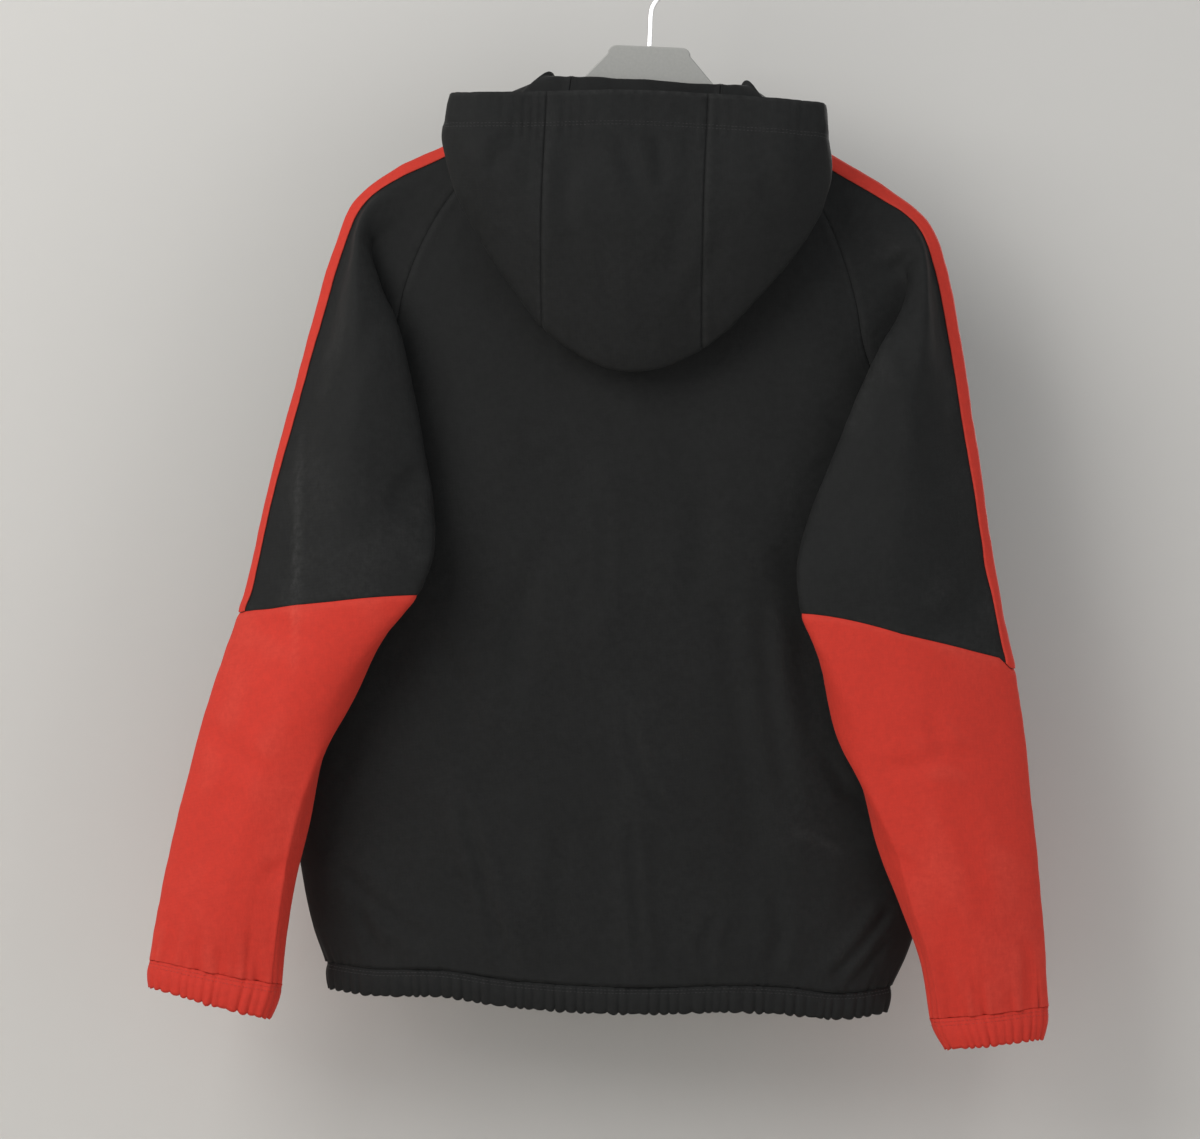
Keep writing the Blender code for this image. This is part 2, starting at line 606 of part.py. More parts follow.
def add_cuff(side, word):
    """A gathered casing round the sleeve's end."""
    fine, _ = surfaces[side]
    rim = even_line(fine[-1], CUFF_WAVES * 2 + 1)
    crown_dx, crown_dz, edge_dx, edge_dz = np.array(CUFF_DROP[side]) * MM
    reach = np.abs(rim[:, 0])
    share = (reach - reach.min()) / (reach.max() - reach.min())
    shift_x, shift_z = side * mix(edge_dx, crown_dx, share), mix(edge_dz, crown_dz, share)
    drop = np.stack([shift_x, np.zeros(len(rim)), shift_z], axis=1)
    outward = join_ends(flat_outward(rim))
    top = rim + unit(drop) * (SEAM + 0.1 * MM)
    grid = narrow(casing(top, rim + drop, CUFF_WAVES, outward), SEAM)
    normals = np.repeat(outward[None], len(grid), axis=0)
    add_wall(f"cuff_{word}", "red_cloth", grid, normals, CASING_WALL)


# Body

def side_edge(side, way, column):
    """A panel's edge: the raglan seam down to the armpit, then the side seam."""
    fine, _ = surfaces[side]
    rows = np.round(cap_rows() * FINE).astype(int)
    seam = fine[rows, column].copy()
    towards = unit(fine[rows, 1 if way == BACK else -2] - seam)
    seam -= towards * SEAM / 2
    across, height = RAGLAN[ARMPIT][:2]
    seam[-1] = (side * across * MM, way * SEAM / 2, height * MM)
    heights = np.array(BODY_ROWS) * MM
    depth = np.full(len(heights), way * SEAM / 2)
    below = np.stack([side * soft_value(HALF_WIDTH, heights), depth, heights], axis=1)
    return np.vstack([seam, below])


def hem_height(x):
    return soft_value(HEM_SEAM, x)


def add_back():
    """The back, one piece from the neck seam and raglan seams to the hem band."""
    left = side_edge(LEFT, BACK, 0)
    right = side_edge(RIGHT, BACK, 0)
    spread = np.sin(np.linspace(-1, 1, BACK_COLUMNS + 1) * np.pi / 2)
    spread = mix(spread, np.linspace(-1, 1, BACK_COLUMNS + 1), 0.35)
    share = (spread + 1) / 2
    grid = left[:, None] * (1 - share[None, :, None]) + right[:, None] * share[None, :, None]
    cap = len(cap_rows())
    dip = (NECK_BACK - NECK_CORNER[1]) * (1 - np.linspace(0, 1, cap)) ** 2
    grid[:cap, :, 2] += dip[:, None] * (1 - spread[None, :] ** 2)
    settle_hem(grid)
    inner = (slice(None), slice(1, -1))
    x, z = grid[..., 0][inner], grid[..., 2][inner]
    fade = smooth_step((1 - np.abs(spread[None, 1:-1])) / 0.12)
    grid[..., 1][inner] = torso(np.abs(x), z, BACK) - fold_height(x, z) * fade
    normals = grid_normals(grid)
    normals *= -np.sign(normals[..., 1].sum())
    blend_edge_normals(normals, grid, BACK)
    add_wall("back_panel", "black_cloth", shorten(grid, 0, SEAM), normals, WALL)


def settle_hem(grid):
    """Pull the lowest rows onto the hem seam's line."""
    low = grid[-1, :, 2].copy()
    change = hem_height(grid[-1, :, 0]) - low
    for back_step, share in ((1, 1.0), (2, 0.5), (3, 0.2)):
        grid[-back_step, :, 2] += change * share


def blend_edge_normals(normals, grid, way):
    """Set a panel's edge normals to those it shares with the pieces beside it."""
    cap = len(cap_rows())
    rows = np.round(cap_rows() * FINE).astype(int)
    for column, side in ((0, LEFT), (-1, RIGHT)):
        if not grid_reaches(grid, column, side):
            continue
        shared = seam_normals[side][way][rows]
        own = normals[:cap, column]
        normals[:cap, column] = shared * np.sign((shared * own).sum(axis=1, keepdims=True))
        normals[cap - 1:, column] = (side, 0, 0)


def grid_reaches(grid, column, side):
    return grid[-1, column, 0] * side > 0.1


def add_front(side, word):
    """One front, from the zip to the raglan and side seams."""
    outer = side_edge(side, FRONT, -1)
    cap = len(cap_rows())
    drop = (outer[:, 2] - outer[0, 2]) / (outer[cap - 1, 2] - outer[0, 2])
    inner_z = np.where(drop < 1, mix(NECK_FRONT, outer[cap - 1, 2], drop), outer[:, 2])
    inner = np.stack([np.full(len(outer), side * ZIP_EDGE), np.zeros(len(outer)), inner_z], axis=1)
    spread = np.sin(np.linspace(0, 1, FRONT_COLUMNS + 1) * np.pi / 2)
    share = mix(spread, np.linspace(0, 1, FRONT_COLUMNS + 1), 0.3)
    grid = inner[:, None] * (1 - share[None, :, None]) + outer[:, None] * share[None, :, None]
    settle_hem(grid)
    scoop = (1 - np.linspace(0, 1, cap)) ** 2 * NECK_SCOOP
    grid[:cap, :, 2] -= scoop[:, None] * (4 * share * (1 - share))[None, :]
    free = (slice(None), slice(0, -1))
    grid[..., 1][free] = torso(np.abs(grid[..., 0][free]), grid[..., 2][free], FRONT)
    normals = grid_normals(grid)
    normals *= np.sign(normals[..., 1].sum())
    if side == LEFT:
        grid, normals = grid[:, ::-1], normals[:, ::-1]
    blend_edge_normals(normals, grid, FRONT)
    add_wall(f"front_{word}", "black_cloth", shorten(grid, 0, SEAM), normals, WALL)
    return grid


def add_hem():
    """The gathered band, from one side of the zip round the back to the other."""
    turn = np.linspace(-np.pi / 2, 3 * np.pi / 2, HEM_POINTS)
    x = -soft_value(HALF_WIDTH, HEM_LEVEL) * np.cos(turn)
    z = hem_height(x)
    way = np.where(np.sin(turn) < 0, FRONT, BACK)
    y = np.where(way == FRONT, torso(np.abs(x), z, FRONT), torso(np.abs(x), z, BACK))
    ring = np.stack([x, y, z], axis=1)
    ring = ring[(way == BACK) | (np.abs(x) > ZIP_EDGE)]
    ring = even_line(ring, HEM_WAVES * 2 + 1)
    outward = flat_outward(ring)
    lower = ring.copy()
    lower[:, 0] *= HEM_TAPER
    lower[:, 2] -= HEM_HEIGHT
    top = ring.copy()
    top[:, 2] -= SEAM + 0.2 * MM
    grid = casing(top, lower, HEM_WAVES, outward)
    add_wall("hem_band", "black_cloth", grid, np.repeat(outward[None], 3, axis=0), CASING_WALL)
    return grid


# Hood

def neck_line(side):
    """Seven points of the neck seam, from beside the centre back to the zip."""
    fine, _ = surfaces[side]
    row = fine[0]
    z = mix(NECK_BACK, NECK_CORNER[1], (HOOD_STRIP / NECK_CORNER[0]) ** 2)
    first = np.array([side * HOOD_STRIP, torso(HOOD_STRIP, z, BACK), z])
    last = np.array([side * ZIP_EDGE, torso(ZIP_EDGE, NECK_FRONT, FRONT), NECK_FRONT])
    near_front = mix(row[-1], last, 0.42)
    near_front[2] -= 4 * MM
    near_front[1] = torso(abs(near_front[0]), near_front[2], FRONT)
    points = np.array([first, row[0], row[8], row[CROWN_COLUMN], row[-3], near_front, last])
    points[:, 2] += HOOD_SEAM_RISE
    points[2:5, 0] -= side * 1.5 * MM
    return points


def hood_grid():
    """Fine grid of the whole hood: left zip end over the back to the right zip end."""
    lines = []
    centre = np.array([0, torso(0.0, NECK_BACK, BACK), NECK_BACK + HOOD_SEAM_RISE])
    lines.append(np.vstack([neck_line(LEFT)[::-1], centre, neck_line(RIGHT)]))
    for (centre_y, centre_z, lean, tilt), *points in HOOD:
        points = np.array(points) * MM
        shift = HOOD_LEAN * lean * np.array(HOOD_LEAN_ACROSS)
        sides = []
        for side in (LEFT, RIGHT):
            line = points.copy()
            line[:, 0] = side * line[:, 0] + shift
            line[:, 2] += line[:, 0] * tilt * MM * np.array(HOOD_LEAN_ACROSS)
            sides.append(line)
        centre = np.array([shift[0], centre_y * MM, centre_z * MM])
        lines.append(np.vstack([sides[0][::-1], centre, sides[1]]))
    grid = soft_line(np.array(lines), HOOD_ROWS)
    grid = np.swapaxes(soft_line(np.swapaxes(grid, 0, 1), HOOD_COLUMNS), 0, 1)
    normals = grid_normals(grid)
    centre_column = grid.shape[1] // 2
    return grid, normals * -np.sign(normals[-3, centre_column, 1])


def add_hood():
    """Centre strip and two sides of the hood."""
    grid, normals = hood_grid()
    left_seam, right_seam = HOOD_SEAMS
    for name, start, stop in (("hood_left", 0, left_seam), ("hood_centre", left_seam, right_seam),
                              ("hood_right", right_seam, sum(HOOD_COLUMNS))):
        part = slice(start, stop + 1)
        add_wall(name, "black_cloth", narrow(grid[:, part]), normals[:, part], WALL)
    return grid


# Zip

def zip_line(front, hem, hood):
    """Middle line of the closed zip, from the hem's lower edge to the top of the hood's front."""
    lower = hem[::-1, 0]
    body = front[::-1, 0]
    stand = hood[1:, -1]
    line = np.vstack([lower[:-1], body, stand])
    line[:, 0] = 0
    return line


def add_zip(front, hem, hood):
    """Tape, slider and pull tab of the closed zip."""
    line = zip_line(front, hem, hood)
    keep = np.concatenate([[True], np.linalg.norm(np.diff(line, axis=0), axis=1) > 2.5 * MM])
    line = line[keep]
    half = ZIP_EDGE - SEAM - 0.3 * MM
    grid = np.stack([line + (x, 0, 0) for x in (-half, 0, half)], axis=1)
    normals = grid_normals(grid)
    normals *= np.sign(normals[..., 1].sum())
    add_wall("zip_tape", "zip_plastic", grid, normals, ZIP_WALL)
    add_slider(line)


def add_block(name, size, centre, material):
    """A plain block, ready to be joined to another or cut by it."""
    bpy.ops.mesh.primitive_cube_add(size=1)
    block = bpy.context.active_object
    block.name = name
    for owner in list(block.users_collection):
        owner.objects.unlink(block)
    collection.objects.link(block)
    for vertex in block.data.vertices:
        vertex.co = vertex.co * Vector(size) + Vector(centre)
    block.data.materials.append(materials[material])
    return block


def combine(block, others, how):
    """Join other blocks to the first, or cut them out of it, and leave one mesh."""
    for other in others:
        boolean = block.modifiers.new(how.lower(), "BOOLEAN")
        boolean.operation = how
        boolean.object = other
    evaluated = block.evaluated_get(bpy.context.evaluated_depsgraph_get())
    data = bpy.data.meshes.new_from_object(evaluated)
    block.modifiers.clear()
    block.data = data
    for other in others:
        bpy.data.objects.remove(other, do_unlink=True)


def add_slider(line):
    """Slider near the top of the zip, and the pull tab that hangs from its bridge."""
    order = np.argsort(line[:, 2])
    y = np.interp(SLIDER_HEIGHT, line[order, 2], line[order, 1])
    above = np.interp(SLIDER_HEIGHT + LEAN_SPAN, line[order, 2], line[order, 1])
    lean = np.arctan2(above - y, LEAN_SPAN)
    width, thick, length = SLIDER
    bridge_x, bridge_y, bridge_z = BRIDGE
    face = thick / 2
    body = add_block("zip_slider", SLIDER, (0, 0, 0), "zip_metal")
    bar = add_block("bar", BRIDGE, (0, face + BRIDGE_GAP + bridge_y / 2, 0), "zip_metal")
    foot_size = (bridge_x, BRIDGE_GAP + bridge_y, BRIDGE_FOOT)
    foot_y = face + (BRIDGE_GAP + bridge_y) / 2 - BRIDGE_SINK
    foot_z = (bridge_z - BRIDGE_FOOT) / 2
    feet = [add_block("foot", foot_size, (0, foot_y, z), "zip_metal") for z in (-foot_z, foot_z)]
    combine(body, [bar, *feet], "UNION")
    body.location = (0, y + (ZIP_WALL / 2 + SEAM) / np.cos(lean) + face, SLIDER_HEIGHT)
    body.rotation_euler = (-lean, 0, 0)

    away = face + BRIDGE_GAP / 2
    hinge = body.location + Vector((0, away * np.cos(lean), -away * np.sin(lean)))
    width, thick, length = PULL
    pull = add_block("zip_pull", (width, thick, length), (0, 0, PULL_EYE - length / 2), "zip_metal")
    slot_height = PULL_SLOT - PULL_EYE
    slot_middle = (0, 0, -PULL_EYE - slot_height / 2)
    slot = add_block("slot", (SLOT_WIDTH, 3 * thick, slot_height), slot_middle, "zip_metal")
    combine(pull, [slot], "DIFFERENCE")
    pull.location = hinge


# Hanger

def arm_top(side):
    """Top edge of one arm, under the crown of the cloth that lies on it."""
    cap = surfaces[side][0][:5 * FINE]
    crown = cap[np.arange(len(cap)), cap[..., 2].argmax(axis=1)]
    reach = side * crown[:, 0]
    at = np.linspace(ARM_START, ARM_REACH, 9)
    order = np.argsort(reach)
    height = np.interp(at, reach[order], crown[order, 2])
    return [(side * x, z - ARM_CLEAR) for x, z in zip(at, height)]


def add_hanger():
    """Flat plate with a broad neck and two sloping arms."""
    half, top = PLATE_TOP
    neck = []
    for turn in np.linspace(0, np.pi / 2, ROUND_POINTS):
        across = half - PLATE_CORNER * (1 - np.sin(turn))
        neck.append((across, top - PLATE_CORNER * (1 - np.cos(turn))))
    outline = []
    for side in (RIGHT, LEFT):
        arm = arm_top(side)
        shoulder = [(side * x, z) for x, z in neck] + [(side * x, z) for x, z in (PLATE_FOOT, PLATE_DIP)]
        tip_x, tip_z = arm[-1]
        tip = [(tip_x + side * TIP_ROUND * np.cos(turn), tip_z - TIP_DEPTH / 2 * (1 + np.sin(turn)))
               for turn in np.linspace(*TIP_TURN, ROUND_POINTS)]
        under = [(side * x, z) for x, z in PLATE_UNDER]
        line = shoulder + arm + tip + under
        outline += line if side == RIGHT else line[::-1]
    curve = bpy.data.curves.new("hanger_plate", "CURVE")
    curve.dimensions = "2D"
    curve.fill_mode = "BOTH"
    curve.extrude = PLATE_THICK / 2 - PLATE_EDGE
    curve.bevel_depth = PLATE_EDGE
    curve.offset = -PLATE_EDGE
    curve.bevel_resolution = 0
    spline = curve.splines.new("POLY")
    spline.points.add(len(outline) - 1)
    for point, (x, z) in zip(spline.points, outline):
        point.co = (x, z, 0, 1)
    spline.use_cyclic_u = True
    plate = add_object("hanger_plate", curve, "grey_plastic")
    plate.rotation_euler = (np.pi / 2, 0, 0)
    bpy.context.view_layer.update()
    curve_to_mesh(plate)


def add_hook():
    """Chrome wire hook: a straight shank, then round the rail to an open mouth."""
    radius = HOOK_RADIUS + WIRE
    centre = -HOOK_RADIUS
    turns = np.linspace(HOOK_START, HOOK_MOUTH, HOOK_POINTS)
    loop = [(radius * np.cos(turn), 0, centre + radius * np.sin(turn)) for turn in turns]
    shank = [(0, 0, PLATE_TOP[1] + SEAM)] + [(x * MM, 0, z * MM) for x, z in SHANK]
    route = np.vstack([soft_line(shank + loop[:1], [1, 2, 2, 2, 2, 2]), loop[1:]])
    curve = bpy.data.curves.new("hanger_hook", "CURVE")
    curve.dimensions = "3D"
    curve.bevel_depth = WIRE
    curve.bevel_resolution = 2
    curve.use_fill_caps = True
    spline = curve.splines.new("POLY")
    spline.points.add(len(route) - 1)
    for point, place in zip(spline.points, route):
        point.co = (*place, 1)
    curve_to_mesh(add_object("hanger_hook", curve, "chrome_wire"))


clear_scene()
materials = {name: make_material(name) for name in COLOURS}
collection = bpy.data.collections.new(COLLECTION)
bpy.context.scene.collection.children.link(collection)
surfaces = {side: sleeve_surface(side) for side in (LEFT, RIGHT)}
seam_normals = {side: mitred_edges(side) for side in (LEFT, RIGHT)}
add_hanger()
add_hook()
for side, word in ((LEFT, "left"), (RIGHT, "right")):
    add_sleeve(side, word)
add_back()
add_front(LEFT, "left")
front = add_front(RIGHT, "right")
hem = add_hem()
hood = add_hood()
add_zip(front, hem, hood)
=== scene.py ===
import math

import bpy
import numpy as np
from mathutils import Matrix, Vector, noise


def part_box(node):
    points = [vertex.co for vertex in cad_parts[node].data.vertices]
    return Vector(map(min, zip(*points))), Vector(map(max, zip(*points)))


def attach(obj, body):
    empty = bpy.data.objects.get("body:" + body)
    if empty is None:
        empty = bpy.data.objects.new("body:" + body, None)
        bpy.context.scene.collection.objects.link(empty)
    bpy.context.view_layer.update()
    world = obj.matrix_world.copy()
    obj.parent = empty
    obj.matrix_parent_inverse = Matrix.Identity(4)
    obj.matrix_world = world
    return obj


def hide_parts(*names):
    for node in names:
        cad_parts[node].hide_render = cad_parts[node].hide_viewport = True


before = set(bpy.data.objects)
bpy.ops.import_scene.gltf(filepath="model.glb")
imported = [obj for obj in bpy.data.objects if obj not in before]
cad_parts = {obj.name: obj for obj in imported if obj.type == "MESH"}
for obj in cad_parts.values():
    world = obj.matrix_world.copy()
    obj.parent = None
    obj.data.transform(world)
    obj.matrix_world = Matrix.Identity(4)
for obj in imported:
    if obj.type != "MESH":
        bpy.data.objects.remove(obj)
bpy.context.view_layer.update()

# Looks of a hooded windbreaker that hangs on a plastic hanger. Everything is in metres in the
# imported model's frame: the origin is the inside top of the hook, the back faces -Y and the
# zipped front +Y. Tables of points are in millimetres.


# Room: a plain pale floor below the garment and a plain pale wall close behind it. The wall
# is seen from its face alone and lets lamps behind it through, so every side of the garment
# can be looked at. Large soft lamps hang to the upper left, to the right and in front.

PICTURE_WIDTH = 0.96                     # of the frame where the garment hangs
PICTURE_CENTRE = (-0.0215, -0.04, -0.505)
PICTURE_ROLL = math.radians(-2.5)
LENS, SENSOR = 165, 36
ROOM_WALL = 0.14                         # y of the wall's face
FLOOR_HEIGHT = -1.12


def link_object(name, data):
    thing = bpy.data.objects.new(name, data)
    bpy.context.scene.collection.objects.link(thing)
    return thing


def aim_lamp(name, place, target, size, power, colour):
    """A square soft lamp at a place, turned to a target."""
    data = bpy.data.lights.new(name, "AREA")
    data.size, data.energy, data.color = size, power, colour
    lamp = link_object(name, data)
    lamp.location = place
    away = lamp.location - type(lamp.location)(target)
    lamp.rotation_euler = away.to_track_quat("Z", "Y").to_euler()


def plain_sheet(name, corners):
    data = bpy.data.meshes.new(name)
    data.from_pydata(corners, [], [(0, 1, 2, 3)])
    return link_object(name, data)


def feed(tree, node, feeds):
    """Give a node's inputs their values, or link them to other nodes' outputs."""
    for key, value in feeds.items():
        if isinstance(value, bpy.types.NodeSocket):
            tree.links.new(value, node.inputs[key])
        else:
            node.inputs[key].default_value = value


def add_node(tree, kind, feeds, **values):
    """A node of a tree: its settings or inputs' values by name, and what feeds its inputs."""
    node = tree.nodes.new(kind)
    for key, value in values.items():
        if hasattr(node, key):
            setattr(node, key, value)
        else:
            node.inputs[key].default_value = value
    feed(tree, node, feeds)
    return node


def object_place(tree):
    return tree.nodes.new("ShaderNodeTexCoord").outputs["Object"]


def noise_texture(tree, place, scale, detail, **values):
    return add_node(tree, "ShaderNodeTexNoise", {"Vector": place}, Scale=scale, Detail=detail,
                    **values).outputs["Fac"]


def mixed_colour(tree, factor, first, second):
    return add_node(tree, "ShaderNodeMix", {"Factor": factor, "A": first, "B": second},
                    data_type="RGBA").outputs["Result"]


def sum_node(tree, operation, *terms):
    return add_node(tree, "ShaderNodeMath", dict(enumerate(terms)), operation=operation).outputs[0]


def new_material(name):
    """A material with its tree and its Principled shader."""
    material = bpy.data.materials.new(name)
    material.use_nodes = True
    return material, material.node_tree, material.node_tree.nodes["Principled BSDF"]


def paint_room(name, colour, one_sided):
    """Matt paint with faint clouds; one-sided paint is clear from behind and to lamps."""
    material, tree, shader = new_material(name)
    clouds = noise_texture(tree, object_place(tree), 1.3, 3.0)
    darker = [0.95 * part for part in colour]
    feed(tree, shader, {"Base Color": mixed_colour(tree, clouds, (*colour, 1), (*darker, 1)),
                        "Roughness": 0.95, "Specular IOR Level": 0.1})
    if one_sided:
        behind = tree.nodes.new("ShaderNodeNewGeometry").outputs["Backfacing"]
        to_lamp = tree.nodes.new("ShaderNodeLightPath").outputs["Is Shadow Ray"]
        clear = tree.nodes.new("ShaderNodeBsdfTransparent").outputs["BSDF"]
        either = sum_node(tree, "MAXIMUM", behind, to_lamp)
        blend = add_node(tree, "ShaderNodeMixShader",
                         {"Fac": either, 1: shader.outputs["BSDF"], 2: clear})
        feed(tree, tree.nodes["Material Output"], {"Surface": blend.outputs["Shader"]})
    return material


camera = link_object("camera", bpy.data.cameras.new("camera"))
camera.data.lens, camera.data.sensor_width = LENS, SENSOR
camera.location = PICTURE_CENTRE
camera.location.y -= PICTURE_WIDTH * LENS / SENSOR
camera.rotation_euler = (math.pi / 2, PICTURE_ROLL, 0)
bpy.context.scene.camera = camera
bpy.context.scene.view_settings.view_transform = "Standard"

room_wall = plain_sheet("room_wall", [(-4, ROOM_WALL, -2.5), (4, ROOM_WALL, -2.5),
                                      (4, ROOM_WALL, 2.5), (-4, ROOM_WALL, 2.5)])
room_wall.data.materials.append(paint_room("wall_paint", (0.60, 0.590, 0.568), True))
floor = plain_sheet("floor", [(-4, -4, FLOOR_HEIGHT), (4, -4, FLOOR_HEIGHT),
                              (4, 4, FLOOR_HEIGHT), (-4, 4, FLOOR_HEIGHT)])
floor.data.materials.append(paint_room("floor_paint", (0.62, 0.60, 0.57), False))

aim_lamp("window", (-1.7, -1.9, 0.75), (0, 0, -0.45), 1.9, 54, (1.0, 0.99, 0.97))
aim_lamp("right_fill", (1.8, -1.8, -0.3), (0, 0, -0.5), 1.6, 10, (0.97, 0.98, 1.0))
aim_lamp("front_fill", (0.7, 2.2, 0.3), (0, 0, -0.45), 1.6, 40, (1.0, 0.99, 0.97))
world = bpy.data.worlds.new("room_light")
world.use_nodes = True
world.node_tree.nodes["Background"].inputs["Color"].default_value = (0.95, 0.97, 1.0, 1)
world.node_tree.nodes["Background"].inputs["Strength"].default_value = 0.5
bpy.context.scene.world = world


# Hanger: one flat plate of grey moulded plastic with a bevelled edge, and a bright plated
# steel wire hook that turns in its neck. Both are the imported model's own solids.

MARKS = (0.3, 0.7)           # the marks' noise turns from one lightness to the other between these


def hard_look(name, metal, size, lightness, roughness):
    """A hard material with small uneven marks in its colour and gloss."""
    material, tree, shader = new_material(name)
    marks = noise_texture(tree, object_place(tree), 1 / size, 4.0)
    ramp = add_node(tree, "ShaderNodeValToRGB", {"Fac": marks})
    for element, place, colour in zip(ramp.color_ramp.elements, MARKS, lightness):
        element.position = place
        element.color = (*colour, 1)
    gloss = add_node(tree, "ShaderNodeMapRange",
                     {"Value": marks, "To Min": roughness[0], "To Max": roughness[1]})
    bump = add_node(tree, "ShaderNodeBump", {"Height": marks}, Strength=0.25, Distance=0.0002)
    feed(tree, shader, {"Base Color": ramp.outputs["Color"], "Roughness": gloss.outputs["Result"],
                        "Normal": bump.outputs["Normal"], "Metallic": metal})
    return material


def cover_node(name, material):
    """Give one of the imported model's own solids its material."""
    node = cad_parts[name]
    for place in node.material_slots:
        place.material = material
    if not node.material_slots:
        node.data.materials.append(material)


cover_node("hanger_plate", hard_look("grey_plastic_look", 0.0, 2.2e-3,
                                     ((0.345, 0.345, 0.325), (0.375, 0.372, 0.352)), (0.42, 0.55)))
cover_node("hanger_hook", hard_look("chrome_look", 1.0, 1.5e-3,
                                    ((0.62, 0.62, 0.62), (0.78, 0.78, 0.77)), (0.10, 0.24)))


# Woven cloth: thin matt polyester, cut to panels. Threads cross in a fine even weave, a soft
# mottle shows where the light rakes, and edges are rubbed a little paler. Where folds stand up,
# the same paler colour is a painted highlight.

MM = 0.001
THREAD = 1.15 * MM           # from one rib of the weave to the next


def cloth_group():
    """Node group of the weave: colour, roughness and height of the threads."""
    group = bpy.data.node_groups.new("woven_cloth", "ShaderNodeTree")
    for way, name, kind in (("INPUT", "Colour", "Color"), ("INPUT", "Wear And Highlight Colour", "Color"),
                            ("INPUT", "Wear And Highlight", "Float"), ("INPUT", "Mottle", "Float"),
                            ("OUTPUT", "Colour", "Color"), ("OUTPUT", "Roughness", "Float"),
                            ("OUTPUT", "Height", "Float")):
        group.interface.new_socket(name=name, in_out=way, socket_type="NodeSocket" + kind)
    given = group.nodes.new("NodeGroupInput").outputs
    place = object_place(group)
    ribs = [add_node(group, "ShaderNodeTexWave", {"Vector": place, "Detail Scale": 0.6},
                     bands_direction=way, Distortion=1.2, Scale=math.pi / 10 / THREAD).outputs["Fac"]
            for way in ("X", "Z")]
    patch = noise_texture(group, place, 210.0, 3.0, Roughness=0.65)
    cloud = noise_texture(group, place, 17.0, 2.0)
    grain = sum_node(group, "MULTIPLY_ADD", sum_node(group, "MULTIPLY", *ribs), 0.35, patch)
    shade = add_node(group, "ShaderNodeMapRange",
                     {"Value": grain, "From Min": 0.35, "From Max": 0.95, "To Min": -1.0})
    drift = sum_node(group, "MULTIPLY_ADD", cloud, 0.8, shade.outputs["Result"])
    strength = sum_node(group, "MULTIPLY_ADD", drift, given["Mottle"], 1.0)
    wear_and_highlight = sum_node(group, "MULTIPLY", given["Wear And Highlight"], patch)
    base = mixed_colour(group, wear_and_highlight, given["Colour"], given["Wear And Highlight Colour"])
    tinted = add_node(group, "ShaderNodeVectorMath", {0: base, "Scale": strength}, operation="SCALE")
    gloss = add_node(group, "ShaderNodeMapRange", {"Value": patch, "To Min": 0.66, "To Max": 0.86})
    feed(group, group.nodes.new("NodeGroupOutput"),
         {"Colour": tinted.outputs["Vector"], "Roughness": gloss.outputs["Result"], "Height": grain})
    return group


def cloth_material(name, colour, wear_and_highlight, mottle, sheen, tint):
    """Cloth of one dye, paler where the mesh's own mask says: rubbed at seams and edges, and a painted
    highlight on the folds.
    """
    material, tree, shader = new_material(name)
    mask = add_node(tree, "ShaderNodeAttribute", {}, attribute_name="wear_and_highlight")
    weave = add_node(tree, "ShaderNodeGroup", {}, node_tree=woven)
    feed(tree, weave, {"Colour": (*colour, 1), "Wear And Highlight Colour": (*wear_and_highlight, 1), "Mottle": mottle,
                       "Wear And Highlight": mask.outputs["Fac"]})
    bump = add_node(tree, "ShaderNodeBump", {"Height": weave.outputs["Height"]}, Strength=0.5,
                    Distance=0.0004)
    feed(tree, shader, {"Base Color": weave.outputs["Colour"], "Normal": bump.outputs["Normal"],
                        "Roughness": weave.outputs["Roughness"], "Specular IOR Level": 0.19,
                        "Sheen Weight": sheen, "Sheen Roughness": 0.45, "Sheen Tint": (*tint, 1)})
    return material


woven = cloth_group()
black_cloth = cloth_material("black_cloth_look", (0.0094, 0.0098, 0.0097), (0.045, 0.045, 0.044),
                             0.38, 0.020, (0.78, 0.79, 0.78))
red_cloth = cloth_material("red_cloth_look", (0.52, 0.035, 0.022), (0.62, 0.10, 0.07),
                           0.09, 0.03, (1.0, 0.6, 0.5))


# Form of the garment: what the panels are cut to lie on. A row of each table is a section in
# millimetres, and one smooth curve in each direction joins the rows.

LEFT, RIGHT = -1, 1          # the side of the garment, as the sign of x
BACK, FRONT = -1, 1          # the face of the garment, as the sign of y
RIDGE = ((0, -88), (40, -108), (75, -126.5), (114, -146), (152, -165.5),
         (190, -185), (212, -197), (229, -211), (240, -225))            # across, height
HALF_WIDTH = ((-857, 222.5), (-835, 226.5), (-803, 239.5), (-764, 250), (-680, 264),
              (-600, 268), (-500, 262), (-415, 249.0), (-80, 249.0))    # height, half width
ARM_ROLL = 6 * MM            # radius of the cloth over the hanger's arm
FALL = 70 * MM               # drop over which the body fills out to most of its depth
DEPTH = {BACK: 40 * MM, FRONT: 34 * MM}
SIDE_POWER = 3.5             # squareness of the body's section at its side seams
SEAM = 0.3 * MM              # gap between two pieces along a seam
CLOTH = 1.0 * MM             # one layer with its seam allowance


def soft_line(points, steps):
    """Points on a smooth curve through the given ones, with steps[i] spans after point i."""
    points = np.asarray(points, dtype=float)
    gaps = np.diff(points, axis=0)
    sizes = np.linalg.norm(gaps.reshape(len(gaps), -1, points.shape[-1]), axis=2)
    lengths = np.sqrt(sizes.mean(axis=1)) + 1e-6
    lengths = lengths.reshape((-1,) + (1,) * (points.ndim - 1))
    slopes = gaps / lengths
    middle = (slopes[:-1] * lengths[1:] + slopes[1:] * lengths[:-1]) / (lengths[1:] + lengths[:-1])
    slopes = np.concatenate([slopes[:1], middle, slopes[-1:]])
    line = []
    for i, count in enumerate(steps):
        for t in np.arange(count) / count:
            line.append((2 * t**3 - 3 * t**2 + 1) * points[i] + (3 * t**2 - 2 * t**3) * points[i + 1]
                        + (t**3 - 2 * t**2 + t) * lengths[i] * slopes[i]
                        + (t**3 - t**2) * lengths[i] * slopes[i + 1])
    line.append(points[-1])
    return np.array(line)


